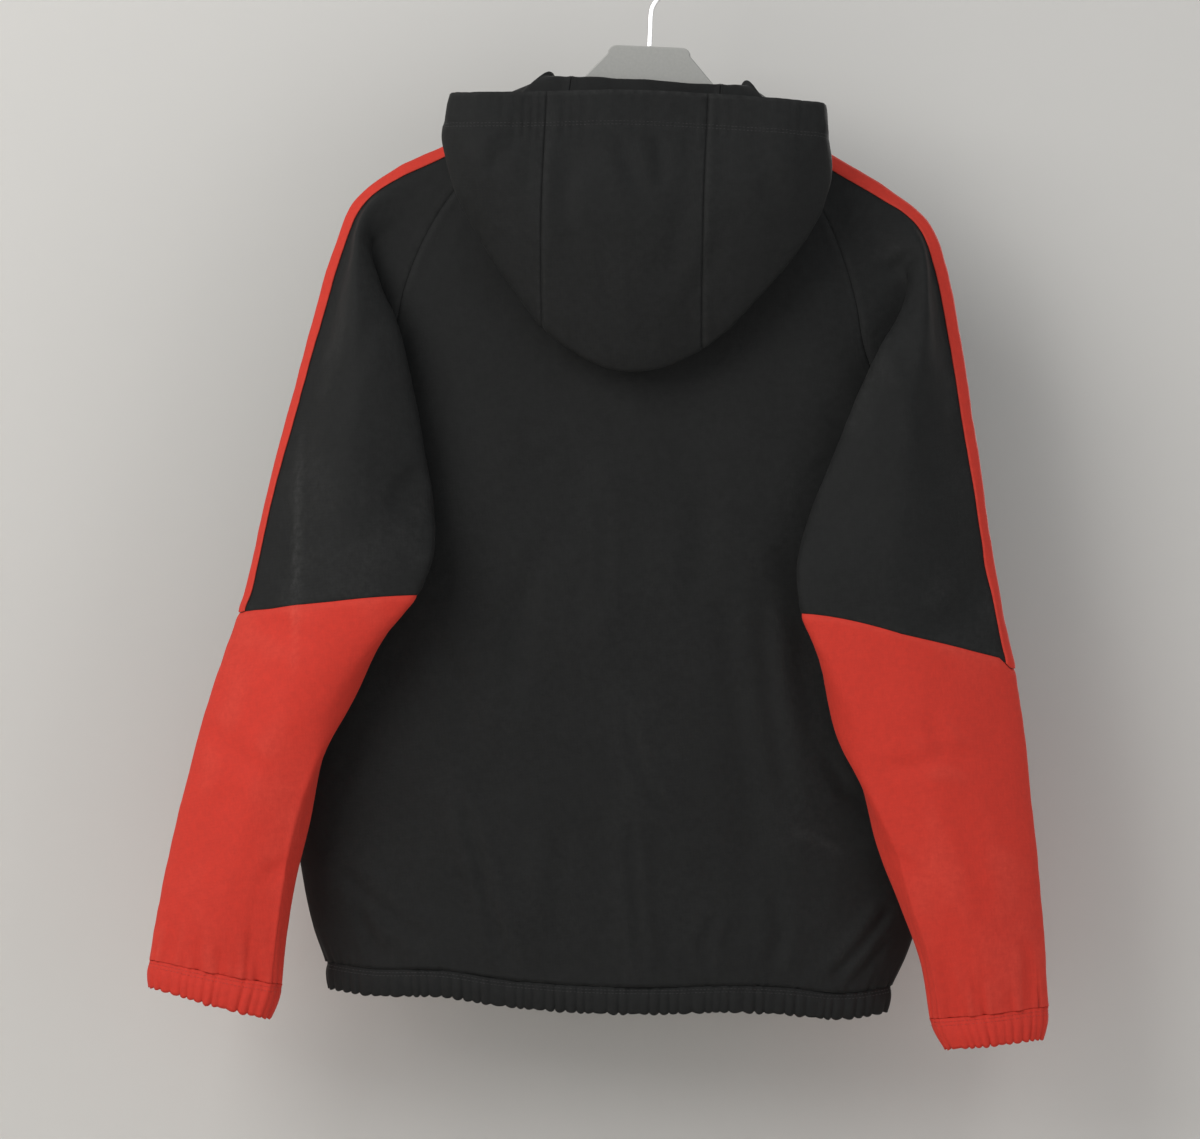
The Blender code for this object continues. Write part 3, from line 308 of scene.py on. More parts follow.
def soft_value(pairs, at):
    """Value at one or more keys, in metres, from (key, value) rows in millimetres."""
    line = soft_line(pairs, [16] * (len(pairs) - 1)) * MM
    return np.interp(at, line[:, 0], line[:, 1])


def mix(a, b, t):
    return a + (b - a) * t


def unit(vectors):
    return vectors / np.maximum(np.linalg.norm(vectors, axis=-1, keepdims=True), 1e-12)


def smooth_step(t):
    t = np.clip(t, 0, 1)
    return t * t * (3 - 2 * t)


def bell(away, width):
    return np.exp(-(away / width) ** 2)


def torso(x, z, way):
    """y of the hanging body at x, z: way is BACK or FRONT."""
    drop = np.maximum(soft_value(RIDGE, np.abs(x)) - z, 0)
    roll = ARM_ROLL * np.sqrt(1 - (1 - np.minimum(drop / ARM_ROLL, 1)) ** 2)
    fall = (DEPTH[way] - ARM_ROLL) * (1 - np.exp(-drop / FALL))
    share = np.minimum(np.abs(x) / soft_value(HALF_WIDTH, z), 1)
    return way * (roll + fall) * np.sqrt(1 - share ** SIDE_POWER)


def grid_normals(grid):
    """Unit normals of a grid of points, each halfway between those of the cells round it."""
    across = np.diff(grid, axis=1)
    down = np.diff(grid, axis=0)
    cells = unit(np.cross(across[:-1] + across[1:], down[:, :-1] + down[:, 1:]))
    cells = np.pad(cells, ((1, 1), (1, 1), (0, 0)), mode="edge")
    return unit(cells[:-1, :-1] + cells[1:, :-1] + cells[:-1, 1:] + cells[1:, 1:])


def arc_lengths(grid):
    """Length along each row of a grid of points, from its first column."""
    steps = np.linalg.norm(np.diff(grid, axis=-2), axis=-1)
    return np.concatenate([np.zeros(steps.shape[:-1] + (1,)), np.cumsum(steps, axis=-1)], axis=-1)


def distances(grid):
    """Distances along the cloth from a grid's first and last columns, first and last rows."""
    across = arc_lengths(grid)
    down = arc_lengths(np.swapaxes(grid, 0, 1)).T
    return across, across[:, -1:] - across, down, down[-1:] - down


def soft_noise(points, size, seed):
    """Smooth noise at each point, with features about that size apart."""
    places = (points.reshape(-1, 3) / size + seed).tolist()
    return np.array([noise.noise(place) for place in places]).reshape(points.shape[:-1])


def wrinkles(points, strength=1.0):
    """Uneven height of slack cloth: broad swells, then smaller and smaller ripples."""
    hung = points * (1, 1, 0.6)
    height = (1.6 * soft_noise(hung, 85 * MM, 3.7) + 0.9 * soft_noise(hung, 34 * MM, 11.3)
              + 0.42 * soft_noise(points, 13 * MM, 23.9))
    return height * strength * MM


def seam_groove(away):
    """Height beside a seam: pulled in at the stitches, puffed a little next to them."""
    return (0.3 * bell(away - 6.0 * MM, 3.5 * MM) - 0.45 * bell(away, 1.5 * MM)) * MM


BANK = (0.45, 2.1, 1.1)      # a crease's banks: share of its depth, place and width in half widths
FADE = (3.2, 0.12)           # how fast a crease dies out at its ends


def crease_height(points, rows):
    """Sum of listed creases. A row is half width, depth, then its points across and down;
    a depth above zero is a trough with soft banks, below zero a ridge."""
    x, z = points[..., 0], points[..., 2]
    height = np.zeros_like(x)
    for width, depth, *line in rows:
        line = np.array(line) * MM
        spans = np.linalg.norm(np.diff(line, axis=0), axis=1)
        total = spans.sum()
        nearest = np.full_like(x, 9.0)
        place = np.zeros_like(x)
        for start, end, span, before in zip(line, line[1:], spans, np.cumsum(spans) - spans):
            along = ((x - start[0]) * (end - start)[0] + (z - start[1]) * (end - start)[1]) / span**2
            near = np.clip(along, 0, 1)
            away = np.hypot(x - mix(start[0], end[0], near), z - mix(start[1], end[1], near))
            closer = away < nearest
            nearest = np.where(closer, away, nearest)
            place = np.where(closer, (before + near * span) / total, place)
        fade = smooth_step(FADE[0] * place + FADE[1]) * smooth_step(FADE[0] * (1 - place) + FADE[1])
        half = width * MM
        profile = bell(nearest, half)
        if depth > 0:
            profile = profile - BANK[0] * bell(nearest - BANK[1] * half, BANK[2] * half)
        height -= depth * MM * profile * fade
    return height


def gathers(at, pitch, seed):
    """Uneven waves along a gathered edge, from about -1 to 1."""
    wander = np.array([noise.noise((a / (2.6 * pitch), seed, 0.0)) for a in at])
    swell = np.array([noise.noise((a / (1.9 * pitch), seed, 5.0)) for a in at])
    puff = np.abs(np.sin(np.pi * at / pitch + 1.9 * wander)) ** 0.75
    return (2 * puff - 1.1) * np.clip(0.75 + 1.1 * swell, 0.15, 1.5)


def gather_reach(at, low, high, seed):
    """How far each gather runs up the cloth above its band."""
    sway = np.array([noise.noise((a / (11 * MM), seed, 9.0)) for a in at])
    return mix(low, high, np.clip(0.5 + 0.9 * sway, 0, 1))


def mesh_of_grid(name, grid, wear_and_highlight=None):
    """Mesh of a grid of points, with the mask of its wear and painted highlight."""
    rows, columns = grid.shape[:2]
    index = np.arange(rows * columns).reshape(rows, columns)
    cells = (index[:-1, :-1], index[:-1, 1:], index[1:, 1:], index[1:, :-1])
    data = bpy.data.meshes.new(name)
    faces = np.stack(cells, axis=-1).reshape(-1, 4)
    data.from_pydata(grid.reshape(-1, 3).tolist(), [], faces.tolist())
    data.shade_smooth()
    mask = data.attributes.new("wear_and_highlight", "FLOAT", "POINT")
    values = np.zeros(rows * columns) if wear_and_highlight is None else np.clip(wear_and_highlight, 0, 1).ravel()
    mask.data.foreach_set("value", values.astype(np.float32))
    return data


def sew_on(name, grid, material, slot, node, flat, area, thickness=CLOTH, wear_and_highlight=None):
    """Make a grid into a wall of cloth that takes its solid's place on the garment."""
    piece = link_object(name, mesh_of_grid(name, grid, wear_and_highlight))
    wall = piece.modifiers.new("thickness", "SOLIDIFY")
    wall.thickness, wall.offset = thickness, 0
    piece.data.materials.append(material)
    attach(piece, "jacket")
    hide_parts(node)


# Sleeves: each is a black upper and a red lower piece, joined at a sloped seam round the arm
# and closed by one seam under it. The raglan top runs to the neck. The empty sleeve hangs
# flat, folded over at its outer edge, with its inner edge laid over the back.

RAGLAN = ((66, -129.5, 64, -138), (112, -163, 98, -182), (148, -207, 132, -227),
          (168, -245, 156, -270), (181, -283, 175, -312), (189, -320, 194, -348),
          (205, -357, 214, -378), (226, -390, 233, -400), (249, -415, 249, -415))
RAGLAN_LEAN = 6.5 * MM
ARMPIT = 8                   # the section at which a sleeve closes to a tube
ARMPIT_STAND = 2.6 * MM      # the tube starts this far outside the body
OUTLINE = {                  # crown across and height, inner edge across and height
    LEFT: ((76, -126.5, 71, -128), (120, -149, 117, -154), (160, -169.7, 156, -184),
           (200, -190.5, 193, -212), (232, -217, 221, -243), (247, -260, 205, -284),
           (258, -307, 189.5, -322), (269, -356, 174, -378), (279, -405, 166, -415),
           (288.5, -453, 157, -458), (297, -500, 149.5, -500), (304.5, -540, 155, -531),
           (316, -580, 182, -568), (329.5, -625, 210, -612), (340.5, -671, 231, -664),
           (350, -718, 244, -717), (358, -762, 250.3, -766), (363.5, -800, 254, -809),
           (367.5, -833, 256, -847)),
    RIGHT: ((76, -126.5, 71, -128), (118, -148, 115, -153), (157, -168, 153, -183),
            (197, -189, 190, -212), (230.5, -215.5, 223, -249), (247, -256, 210, -286),
            (257.5, -304, 194, -322), (267, -355, 172, -378), (277, -404, 158, -415),
            (285, -450, 143.5, -455), (294, -496, 128.5, -496), (302, -532, 127, -533),
            (313, -572, 144, -572), (323.5, -622, 170.5, -626), (331, -670, 190, -672),
            (337.5, -717, 209, -716), (343, -762, 226, -763), (348, -802, 243, -806),
            (352, -839, 253, -852)),
}
# Depths above the armpit: growth of the fold, y of edge, back face and crown, crown's roll,
# across and y of the tuck under the fold
CAP = ((0.0, -10, -10, 0, 3.6, 0, 0), (0.0, -18, -18, 0, 4.0, 0, 0),
       (0.0, -24, -24, 0, 4.2, 0, 0), (0.12, -30, -30, 0, 4.6, 200, -25),
       (0.55, -37, -41, -3, 9.0, 222, -24), (0.85, -45, -55, -10, 13, 226, -22),
       (1.0, -52, -67, -17, 16, 235, -20), (1.0, -57, -76, -23, 18, 243, -19),
       (1.0, -61, -83, -28, 19, 249, -20))
# Depths below it: y of edge, back face, crown, front face and underarm seam, crown's roll,
# place of the seam on the front face (0 at the inner edge, 1 at the crown)
TUBE = ((-64, -88, -33, -48, -22, 19, 0.80), (-67, -92, -38, -47, -36, 18, 0.62),
        (-68, -94, -42, -46, -44, 17, 0.42), (-67, -93, -44, -44, -47, 16, 0.25),
        (-65, -90, -45, -41, -48, 15, 0.12), (-62, -86, -44, -38, -52, 14.5, 0.05),
        (-59, -81, -42, -34, -54, 14, 0.0), (-56, -76, -40, -31, -54, 13, -0.03),
        (-52, -70, -38, -29, -51, 12, -0.04), (-47, -62, -37, -28, -46.5, 10, -0.04))
COLOUR_SEAM = {LEFT: (11, 11.3, 14.5), RIGHT: (11, 11.95, 14.5)}   # at back, crown, front
BACK_SLOPE = (5, 15)         # it slopes down the back between these places
SEAM_TURN = 18.5             # and down the front from this place on
FINE = 14                    # rows of the cloth from one section to the next
# Columns between the stops of a section: seam, tuck, edge, face, crown's back, stripe's back
# and front, over the crown, crown's front, middle, seam
COLUMN_STEPS = (13, 15, 18, 15, 5, 6, 3, 4, 15, 15)
COLUMN_STOPS = (0, 2, 5, 9, 12, 13, 17, 18, 19, 21, 23)     # their places in the colour seam
STRIPE_COLUMNS = slice(68, 75)
CROWN_COLUMN = 71
TUBE_ROWS, LOWER_ROWS = 48, 92          # of the cloth from armpit to colour seam, and below it
OVER_CROWN = 3.2 * MM
LEAST_STEP = 1 * MM
STRIPE_LEAST = 0.35          # the stripe leaves at least this share of the back free
STRIPE_HALF = 7 * MM
STRIPE_SHIFT = {LEFT: -5 * MM, RIGHT: -8 * MM}
EDGE_COLUMNS = (0.8 * MM, 2.0 * MM)

SLEEVE_CREASES = {           # seen from the back: half width, depth, then across and down
    LEFT: ((4.2, -1.3, (-264, -392), (-264, -440), (-262, -500), (-259, -560), (-259, -612)),
           (7, 1.2, (-169, -426), (-178, -446), (-190, -470)),
           (8, 1.1, (-205, -300), (-222, -345), (-236, -400)),
           (9, 1.3, (-300, -520), (-280, -556), (-240, -580)),
           (7, 1.2, (-251, -740), (-262, -752), (-282, -760)),
           (8, 1.2, (-330, -640), (-300, -668), (-268, -676)),
           (10, 1.3, (-285, -600), (-296, -660), (-318, -730)),
           (4, 1.5, (-328, -806), (-330, -858)), (4, 1.3, (-312, -815), (-306, -862)),
           (4.5, 1.7, (-289, -795), (-277, -861)), (3.5, 1.2, (-349, -800), (-353, -852)),
           (3.2, 1.1, (-340, -822), (-342, -858)), (3.2, 1.1, (-268, -826), (-264, -858))),
    RIGHT: ((5, 1.6, (224, -236), (205, -253), (184, -259)),
            (8, 1.2, (205, -300), (228, -352), (240, -410)),
            (6, 1.7, (136, -563), (147, -571), (160, -577)),
            (7, 1.5, (240, -606), (257, -637), (288, -646)),
            (6, 1.1, (257, -637), (236, -650), (205, -652)),
            (5, 1.2, (208, -716), (220, -722), (238, -730)),
            (9, 1.2, (292, -470), (272, -520), (232, -548)),
            (10, 1.2, (262, -660), (284, -720), (300, -775)),
            (4.5, 1.7, (331, -785), (338, -852)), (4, 1.5, (261, -800), (284, -856)),
            (3.6, 1.3, (291, -818), (302, -856)), (3.4, 1.1, (318, -822), (322, -856)),
            (3.2, 1.1, (270, -836), (276, -858))),
}
SLEEVE_FRONT_CREASES = {
    LEFT: ((8, 1.3, (-300, -440), (-262, -470), (-220, -480)), (7, 1.3, (-250, -610), (-280, -640)),
           (9, 1.2, (-200, -300), (-240, -350)), (4, 1.5, (-320, -800), (-316, -856)),
           (4, 1.4, (-290, -808), (-288, -858)), (7, 1.0, (-330, -690), (-290, -716))),
    RIGHT: ((8, 1.3, (292, -430), (255, -462), (205, -476)), (7, 1.3, (230, -600), (270, -628)),
            (9, 1.2, (198, -306), (238, -352)), (4, 1.5, (312, -806), (318, -856)),
            (4, 1.4, (280, -812), (288, -858)), (7, 1.0, (318, -688), (276, -706))),
}
PRESSED_HIGHLIGHT = ((-264, -400), (-262, -500), (-259, -604))     # the pressed line, painted paler as a highlight along its ridge
CUFF_PITCH = 7.6 * MM
CUFF_REACH = (12 * MM, 46 * MM)


def seam_point(row, lean, side, way):
    """Point of a raglan seam on the body's surface."""
    across, height = (row[0], row[1]) if way == BACK else (row[2], row[3])
    x = across * MM + lean * side * -1
    z = height * MM
    return np.array([side * x, torso(x, z, way), z])


def cap_section(i, side):
    """Nine points of a section above the armpit, back seam over the crown to front seam."""
    growth, edge_y, back_y, crown_y, roll, tuck_x, tuck_y = CAP[i]
    crown_x, crown_z, edge_x, edge_z = OUTLINE[side][i]
    lean = RAGLAN_LEAN * np.sin(np.pi * i / ARMPIT)
    back = seam_point(RAGLAN[i], lean, side, BACK)
    front = seam_point(RAGLAN[i], lean, side, FRONT)
    out = unit(np.array([mix(0.46, 0.97, growth), mix(0.89, 0.22, growth)]))
    crown = np.array([side * crown_x, crown_y, crown_z]) * MM
    inward = np.array([-side * out[0], 0, -out[1]]) * roll * MM
    depth = np.array([0, roll * MM, 0])
    crown_back = crown + 0.85 * inward - depth
    crown_front = crown + 0.85 * inward + depth

    def on_body(start, end, share, way):
        point = mix(start, end, share)
        point[1] = torso(abs(point[0]), point[2], way)
        return point

    edge = np.array([side * edge_x, edge_y, edge_z]) * MM
    tuck = np.array([side * tuck_x * MM, tuck_y * MM, mix(back[2], crown[2], 0.25)])
    face = mix(edge, crown, 0.5)
    face[1] = back_y * MM
    middle = mix(crown_front, front, 0.5)
    middle[1] = mix(torso(abs(middle[0]), middle[2], FRONT), middle[1], 0.35 * growth)
    return [back,
            mix(on_body(back, crown_back, 0.3, BACK), tuck, growth),
            mix(on_body(back, crown_back, 0.6, BACK), edge, growth),
            mix(on_body(back, crown_back, 0.85, BACK), face, growth),
            crown_back, crown, crown_front, middle, front]


def tube_section(i, side):
    """Nine points round a section below the armpit, which start and end at its seam."""
    edge_y, back_y, crown_y, front_y, seam_y, roll, seam = TUBE[i - ARMPIT - 1]
    crown_x, crown_z, edge_x, edge_z = OUTLINE[side][i]
    edge = np.array([side * edge_x, edge_y, edge_z]) * MM
    crown = np.array([side * crown_x, crown_y, crown_z]) * MM

    def on_face(place, face_y):
        share = abs(place)
        point = mix(edge, crown, share)
        bulge = face_y * MM - (edge[1] + crown[1]) / 2
        point[1] += bulge * np.sqrt(max(1 - abs(2 * share - 1) ** 2.6, 0))
        return point

    inward = np.array([-side, 0, 0]) * roll * MM
    depth = np.array([0, roll * MM, 0])
    crown_back = crown + 0.7 * inward - depth
    crown_front = crown + 0.7 * inward + depth
    near_armpit = np.clip(seam / 0.8, 0, 1)
    start = on_face(seam, front_y)
    start[1] = seam_y * MM
    edge_place = (1 - near_armpit) * 0.16
    tuck_place = mix((edge_place - seam) / 2, -0.7 * seam, near_armpit)
    tuck = on_face(tuck_place, back_y if tuck_place > 0 else front_y)
    middle = on_face(mix(max(seam, 0), 1, 0.45), front_y)
    middle[1] = mix(middle[1], (start[1] + crown_front[1]) / 2, near_armpit)
    return [start, tuck, on_face(edge_place, back_y), on_face(0.5, back_y),
            crown_back, crown, crown_front, middle, start]


def place_columns(section, shift):
    """Points of one dense section at the sleeve's columns, closer together at its two seams."""
    length = arc_lengths(section)
    seam, tuck, edge, face, crown_back, crown, crown_front, middle, end = length[::FINE]
    stripe_back = max(crown + shift - STRIPE_HALF, STRIPE_LEAST * crown)
    stripe_front = crown + shift + STRIPE_HALF
    over = crown + OVER_CROWN
    squeeze = min(1, (stripe_back - LEAST_STEP) / crown_back)
    back = [seam, tuck * squeeze, edge * squeeze, face * squeeze, crown_back * squeeze]
    front = [stripe_front, over, max(crown_front, over + LEAST_STEP), middle, end]
    stops = back + [stripe_back] + front
    at = [np.linspace(low, high, count, endpoint=False)
          for low, high, count in zip(stops, stops[1:], COLUMN_STEPS)]
    at = np.concatenate(at + [[end]])
    close = np.minimum(EDGE_COLUMNS, at[1] * np.array([0.3, 0.7]))
    close_end = np.minimum(EDGE_COLUMNS, (end - at[-2]) * np.array([0.3, 0.7]))
    at = np.concatenate([at[:1], close, at[1:-1], end - close_end[::-1], at[-1:]])
    return np.stack([np.interp(at, length, section[:, k]) for k in range(3)], axis=1)


def sleeve_surface(side):
    """Fine grid of a whole sleeve, and the raglan seams' lines on the body."""
    sections = [cap_section(i, side) for i in range(ARMPIT + 1)]
    sections += [tube_section(i, side) for i in range(ARMPIT + 1, len(OUTLINE[side]))]
    sections = np.array(sections)
    steps = [FINE] * (len(sections) - 1)
    on_body = soft_line(sections, steps)[:ARMPIT * FINE + 1]
    stand = np.array([side * ARMPIT_STAND, 0, -ARMPIT_STAND / 2])
    sections[ARMPIT, [0, -1]] += stand
    lengthwise = soft_line(sections, steps)
    dense = soft_line(np.swapaxes(lengthwise, 0, 1), [FINE] * 8)
    fine = np.array([place_columns(section, STRIPE_SHIFT[side]) for section in np.swapaxes(dense, 0, 1)])
    return fine, {BACK: on_body[:, 0], FRONT: on_body[:, -1]}


def colour_seam_rows(side):
    """Section number of the colour seam at each column."""
    low_back, crown, low_front = COLOUR_SEAM[side]
    stops = np.concatenate([[0], np.cumsum(COLUMN_STEPS)])
    columns = np.interp(np.arange(stops[-1] + 1), stops, COLUMN_STOPS)
    columns = np.concatenate([columns[:1], columns[:1] + (0.05, 0.1), columns[1:-1],
                              columns[-1:] - (0.1, 0.05), columns[-1:]])
    start, stop = BACK_SLOPE
    back = mix(low_back, crown, smooth_step((columns - start) / (stop - start)))
    front = mix(crown, low_front, (columns - SEAM_TURN) / (COLUMN_STOPS[-1] - SEAM_TURN))
    return np.where(columns <= stop, back, np.maximum(front, crown))


def close_rows(count):
    """Shares from 0 to 1 with two extra rows near each end, for the seams' grooves."""
    even = np.arange(1, count) / count
    near = np.array([0, 0.25, 0.6]) / count
    return np.concatenate([near, even, 1 - near[::-1]])


def cut_rows(fine, rows):
    """Points of a fine grid at a section number for each row and column."""
    low = np.clip(np.floor(rows * FINE).astype(int), 0, len(fine) - 2)
    part = (rows * FINE - low)[..., None]
    columns = np.arange(fine.shape[1])[None, :]
    return mix(fine[low, columns], fine[low + 1, columns], part)


def narrow(grid, by=SEAM / 2):
    """Move a grid's first and last columns in by half a seam's gap."""
    grid = grid.copy()
    grid[:, 0] += unit(grid[:, 1] - grid[:, 0]) * by
    grid[:, -1] += unit(grid[:, -2] - grid[:, -1]) * by
    return grid


def shorten(grid, first=0.0, last=0.0):
    """Move a grid's first and last rows in along the cloth."""
    grid = grid.copy()
    grid[0] += unit(grid[1] - grid[0]) * first
    grid[-1] += unit(grid[-2] - grid[-1]) * last
    return grid


def sleeve_heights(grid, normals, side):
    """Folds and creases of a sleeve, softer close to the body and the underarm seam."""
    back = smooth_step(-normals[..., 1] * 1.6)
    front = smooth_step(normals[..., 1] * 1.6)
    height = crease_height(grid, SLEEVE_CREASES[side]) * back
    height += crease_height(grid, SLEEVE_FRONT_CREASES[side]) * front
    left, right, _, _ = distances(grid)
    calm = 0.3 + 0.7 * smooth_step(np.minimum(left, right) / (45 * MM))
    return (height + wrinkles(grid)) * calm


def line_mask(grid, line, width):
    """Mask along a line of points across and down."""
    return crease_height(grid, ((width, -1 / MM, *line),))


PUCKER = (1.3 * MM, 1.4)     # height of the gathers at the cuff, and how fast they die out
SLEEVE_DYES = {"upper": (black_cloth, "black_cloth"), "lower": (red_cloth, "red_cloth")}


def add_sleeve(side, word, flats, areas):
    """Upper and lower sleeve of one side; gives back both displaced grids and their normals."""
    fine, _ = surfaces[side]
    seam_rows = colour_seam_rows(side)[None, :]
    last = len(OUTLINE[side]) - 1
    cap = np.repeat(mix(0, ARMPIT, close_rows(ARMPIT * FINE))[:-3, None], fine.shape[1], axis=1)
    tube = mix(ARMPIT, seam_rows, close_rows(TUBE_ROWS)[3:, None])
    lower = mix(seam_rows, last, close_rows(LOWER_ROWS)[:, None])
    grids = {}
    for part, rows in (("upper", np.vstack([cap, tube])), ("lower", lower)):
        grid = narrow(cut_rows(fine, rows))
        grid = shorten(grid, 0 if part == "upper" else SEAM / 2, SEAM / 2)
        normals = grid_normals(grid)
        normals *= np.sign((normals[:, CROWN_COLUMN, 0] * side).sum())
        left, right, top, bottom = distances(grid)
        seams = np.minimum(left, right)
        height = sleeve_heights(grid, normals, side)
        if part == "lower":
            at = arc_lengths(grid)[-1]
            reach = gather_reach(at, *CUFF_REACH, 2.0 + side)[None, :]
            waves = gathers(at, CUFF_PITCH, 3.0 + side)[None, :]
            height += PUCKER[0] * waves * np.exp(-bottom / reach * PUCKER[1])
            seams = np.minimum(seams, top)
        else:
            seams = np.minimum(seams, bottom)
        height += seam_groove(seams)
        # Paler beside the seams for wear, and a painted highlight where folds and creases stand up.
        wear_and_highlight_mask = 0.12 * bell(seams - 3 * MM, 1.6 * MM) + 0.25 * smooth_step(height / (1.6 * MM))
        if side == LEFT:
            facing = smooth_step(-normals[..., 1] * 2)
            # Painted highlight along the pressed ridge, on the side that faces the back.
            wear_and_highlight_mask += 0.4 * line_mask(grid, PRESSED_HIGHLIGHT, 2.2) * facing
        shaped = grid + normals * height[..., None]
        sew_on(f"{word}_{part}_sleeve_cloth", shaped, *SLEEVE_DYES[part], f"sleeve_{word}_{part}",
               flats[part], areas[part], wear_and_highlight=wear_and_highlight_mask)
        grids[part] = (shaped, normals)
    return grids


surfaces = {side: sleeve_surface(side) for side in (LEFT, RIGHT)}
sleeves = {
    LEFT: add_sleeve(LEFT, "left", {"upper": (0.37, 0.50), "lower": (0.34, 0.35)},
                     {"upper": 0.113, "lower": 0.070}),
    RIGHT: add_sleeve(RIGHT, "right", {"upper": (0.40, 0.52), "lower": (0.34, 0.37)},
                      {"upper": 0.125, "lower": 0.078}),
}


# Sleeve bands: one plain strip of the red cloth on each sleeve, sewn flat along the fold from
# the neck to the colour seam.

STRIPE_WALL = 0.8 * MM
STRIPE_LIFT = CLOTH / 2 + 0.3 * MM + STRIPE_WALL / 2
STRIPE_FIRST = 16            # row of the upper sleeve at which the band leaves the neck

for side, word in ((LEFT, "left"), (RIGHT, "right")):
    cloth, facing = sleeves[side]["upper"]
    cloth, facing = cloth[STRIPE_FIRST:, STRIPE_COLUMNS], facing[STRIPE_FIRST:, STRIPE_COLUMNS]
    left, right, _, _ = distances(cloth)
    flat_edge = 0.12 * MM * smooth_step(np.minimum(left, right) / (2 * MM))
    band = cloth + facing * (STRIPE_LIFT + flat_edge)[..., None]
    sew_on(f"{word}_sleeve_band", band, red_cloth, "red_cloth", f"stripe_{word}", (0.0145, 0.50), 0.0070,
           STRIPE_WALL, 0.35 * bell(np.minimum(left, right), 1.0 * MM))


# Cuffs: red casings with elastic inside, gathered and stitched to the ends of the sleeves.

CUFF_DROP = {LEFT: (0, -21.5, 8, -28), RIGHT: (-3, -26, 13, -23)}   # shift of crown, of edge
CASING_WALL = 1.5 * MM
CASING_BULGE = 1.5 * MM
CASING_SET = 0.3 * MM        # the casing's top lies this far in, so that its face meets the cloth's
GATHER_HEIGHT = 1.1 * MM
SCALLOP = 1.4 * MM           # how far the free edge hangs lower under a gather
CASING_ROWS = 11
BAND_GAP = 0.1 * MM
STITCH_ROWS = (0.12, 0.24)   # shares of a casing's height at which it is sewn through
STITCH = (2.3 * MM, 0.42 * MM, 0.3 * MM)     # length, width and height of one stitch
STITCH_PITCH = 3.1 * MM
THREAD_LIFT = CLOTH / 2 + 0.05 * MM          # of a stitch's middle from the middle of one layer


def even_line(points, count):
    """The same line with its points evenly spaced."""
    lengths = arc_lengths(points)
    at = np.linspace(0, lengths[-1], count)
    return np.stack([np.interp(at, lengths, points[:, k]) for k in range(points.shape[1])], axis=1)


def flat_outward(line):
    """Outward directions of a closed-round line, level with the floor."""
    along = np.gradient(line, axis=0)
    turned = unit(np.stack([along[:, 1], -along[:, 0], np.zeros(len(line))], axis=1))
    return turned * np.sign(((line - line.mean(axis=0)) * turned).sum())


def casing_grid(top, bottom, outward, wave):
    """Grid of a gathered band between two lines, pulled in where it is sewn through."""
    rows = []
    for share in np.linspace(0, 1, CASING_ROWS):
        bulge = CASING_BULGE * np.sin(np.pi * min(share * 1.05, 1)) ** 0.7 - CASING_SET
        sewn = sum(bell(share - place, 0.045) for place in STITCH_ROWS)
        push = bulge - 0.75 * MM * sewn + wave * GATHER_HEIGHT * (0.55 + 0.45 * share) * (1 - 0.4 * sewn)
        row = mix(top, bottom, share) + outward * push[:, None]
        row[:, 2] -= wave * SCALLOP * share ** 3
        rows.append(row)
    return np.array(rows)


def add_small_parts(name, vertices, faces, material):
    """One piece of many small solids that rides on the jacket; gives back its mesh."""
    data = bpy.data.meshes.new(name)
    data.from_pydata([tuple(v) for v in vertices], [], faces)
    data.materials.append(material)
    piece = link_object(name, data)
    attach(piece, "jacket")
    return data


def thread_stitches(name, lines, material):
    """Short stitches that lie along lines of points, with their outward directions."""
    length, width, height = STITCH
    vertices, faces = [], []
    ring = ((0.5, 0.0), (0.0, 1.0), (-0.5, 0.0), (0.0, -0.6))
    for points, outward in lines:
        total = arc_lengths(points)
        count = max(int(total[-1] / STITCH_PITCH), 2)
        both = np.hstack([points, outward])
        at = np.linspace(0, total[-1], count + 1)
        centres = np.stack([np.interp(at, total, both[:, k]) for k in range(6)], axis=1)
        along = unit(np.gradient(centres[:, :3], axis=0))
        for (*centre, nx, ny, nz), step in zip(centres[:-1], along[:-1]):
            up = unit(np.array([nx, ny, nz]))
            side = np.cross(step, up)
            first = len(vertices)
            for place in (-0.5, 0.5):
                vertices.append(np.array(centre) + step * place * length + up * 0.1 * height)
            for place in (-0.3, 0.3):
                for across, rise in ring:
                    vertices.append(np.array(centre) + step * place * length + side * across * width
                                    + up * rise * height)
            for k in range(4):
                a, b = first + 2 + k, first + 2 + (k + 1) % 4
                faces += [(first, b, a), (a, b, b + 4, a + 4), (first + 1, a + 4, b + 4)]
    add_small_parts(name, vertices, faces, material).shade_smooth()


def thread_material(name, colour):
    """Twisted sewing thread, a little glossier than the cloth."""
    material, tree, shader = new_material(name)
    twist = noise_texture(tree, object_place(tree), 1800.0, 2.0)
    darker = [0.7 * part for part in colour]
    feed(tree, shader, {"Base Color": mixed_colour(tree, twist, (*darker, 1), (*colour, 1)),
                        "Roughness": 0.55})
    return material


black_thread = thread_material("black_thread_look", (0.032, 0.031, 0.032))
red_thread = thread_material("red_thread_look", (0.50, 0.045, 0.032))


def stitch_lines(grid, wall):
    """Lines for the stitches on a casing's outer face."""
    normals = grid_normals(grid)
    centre = grid.mean(axis=(0, 1))
    normals *= np.sign(((grid - centre) * normals).sum())
    lines = []
    for place in STITCH_ROWS:
        row = place * (CASING_ROWS - 1)
        low = int(row)
        points = mix(grid[low], grid[low + 1], row - low)
        outward = unit(mix(normals[low], normals[low + 1], row - low))
        lines.append((points + outward * (wall / 2 + 0.05 * MM), outward))
    return lines


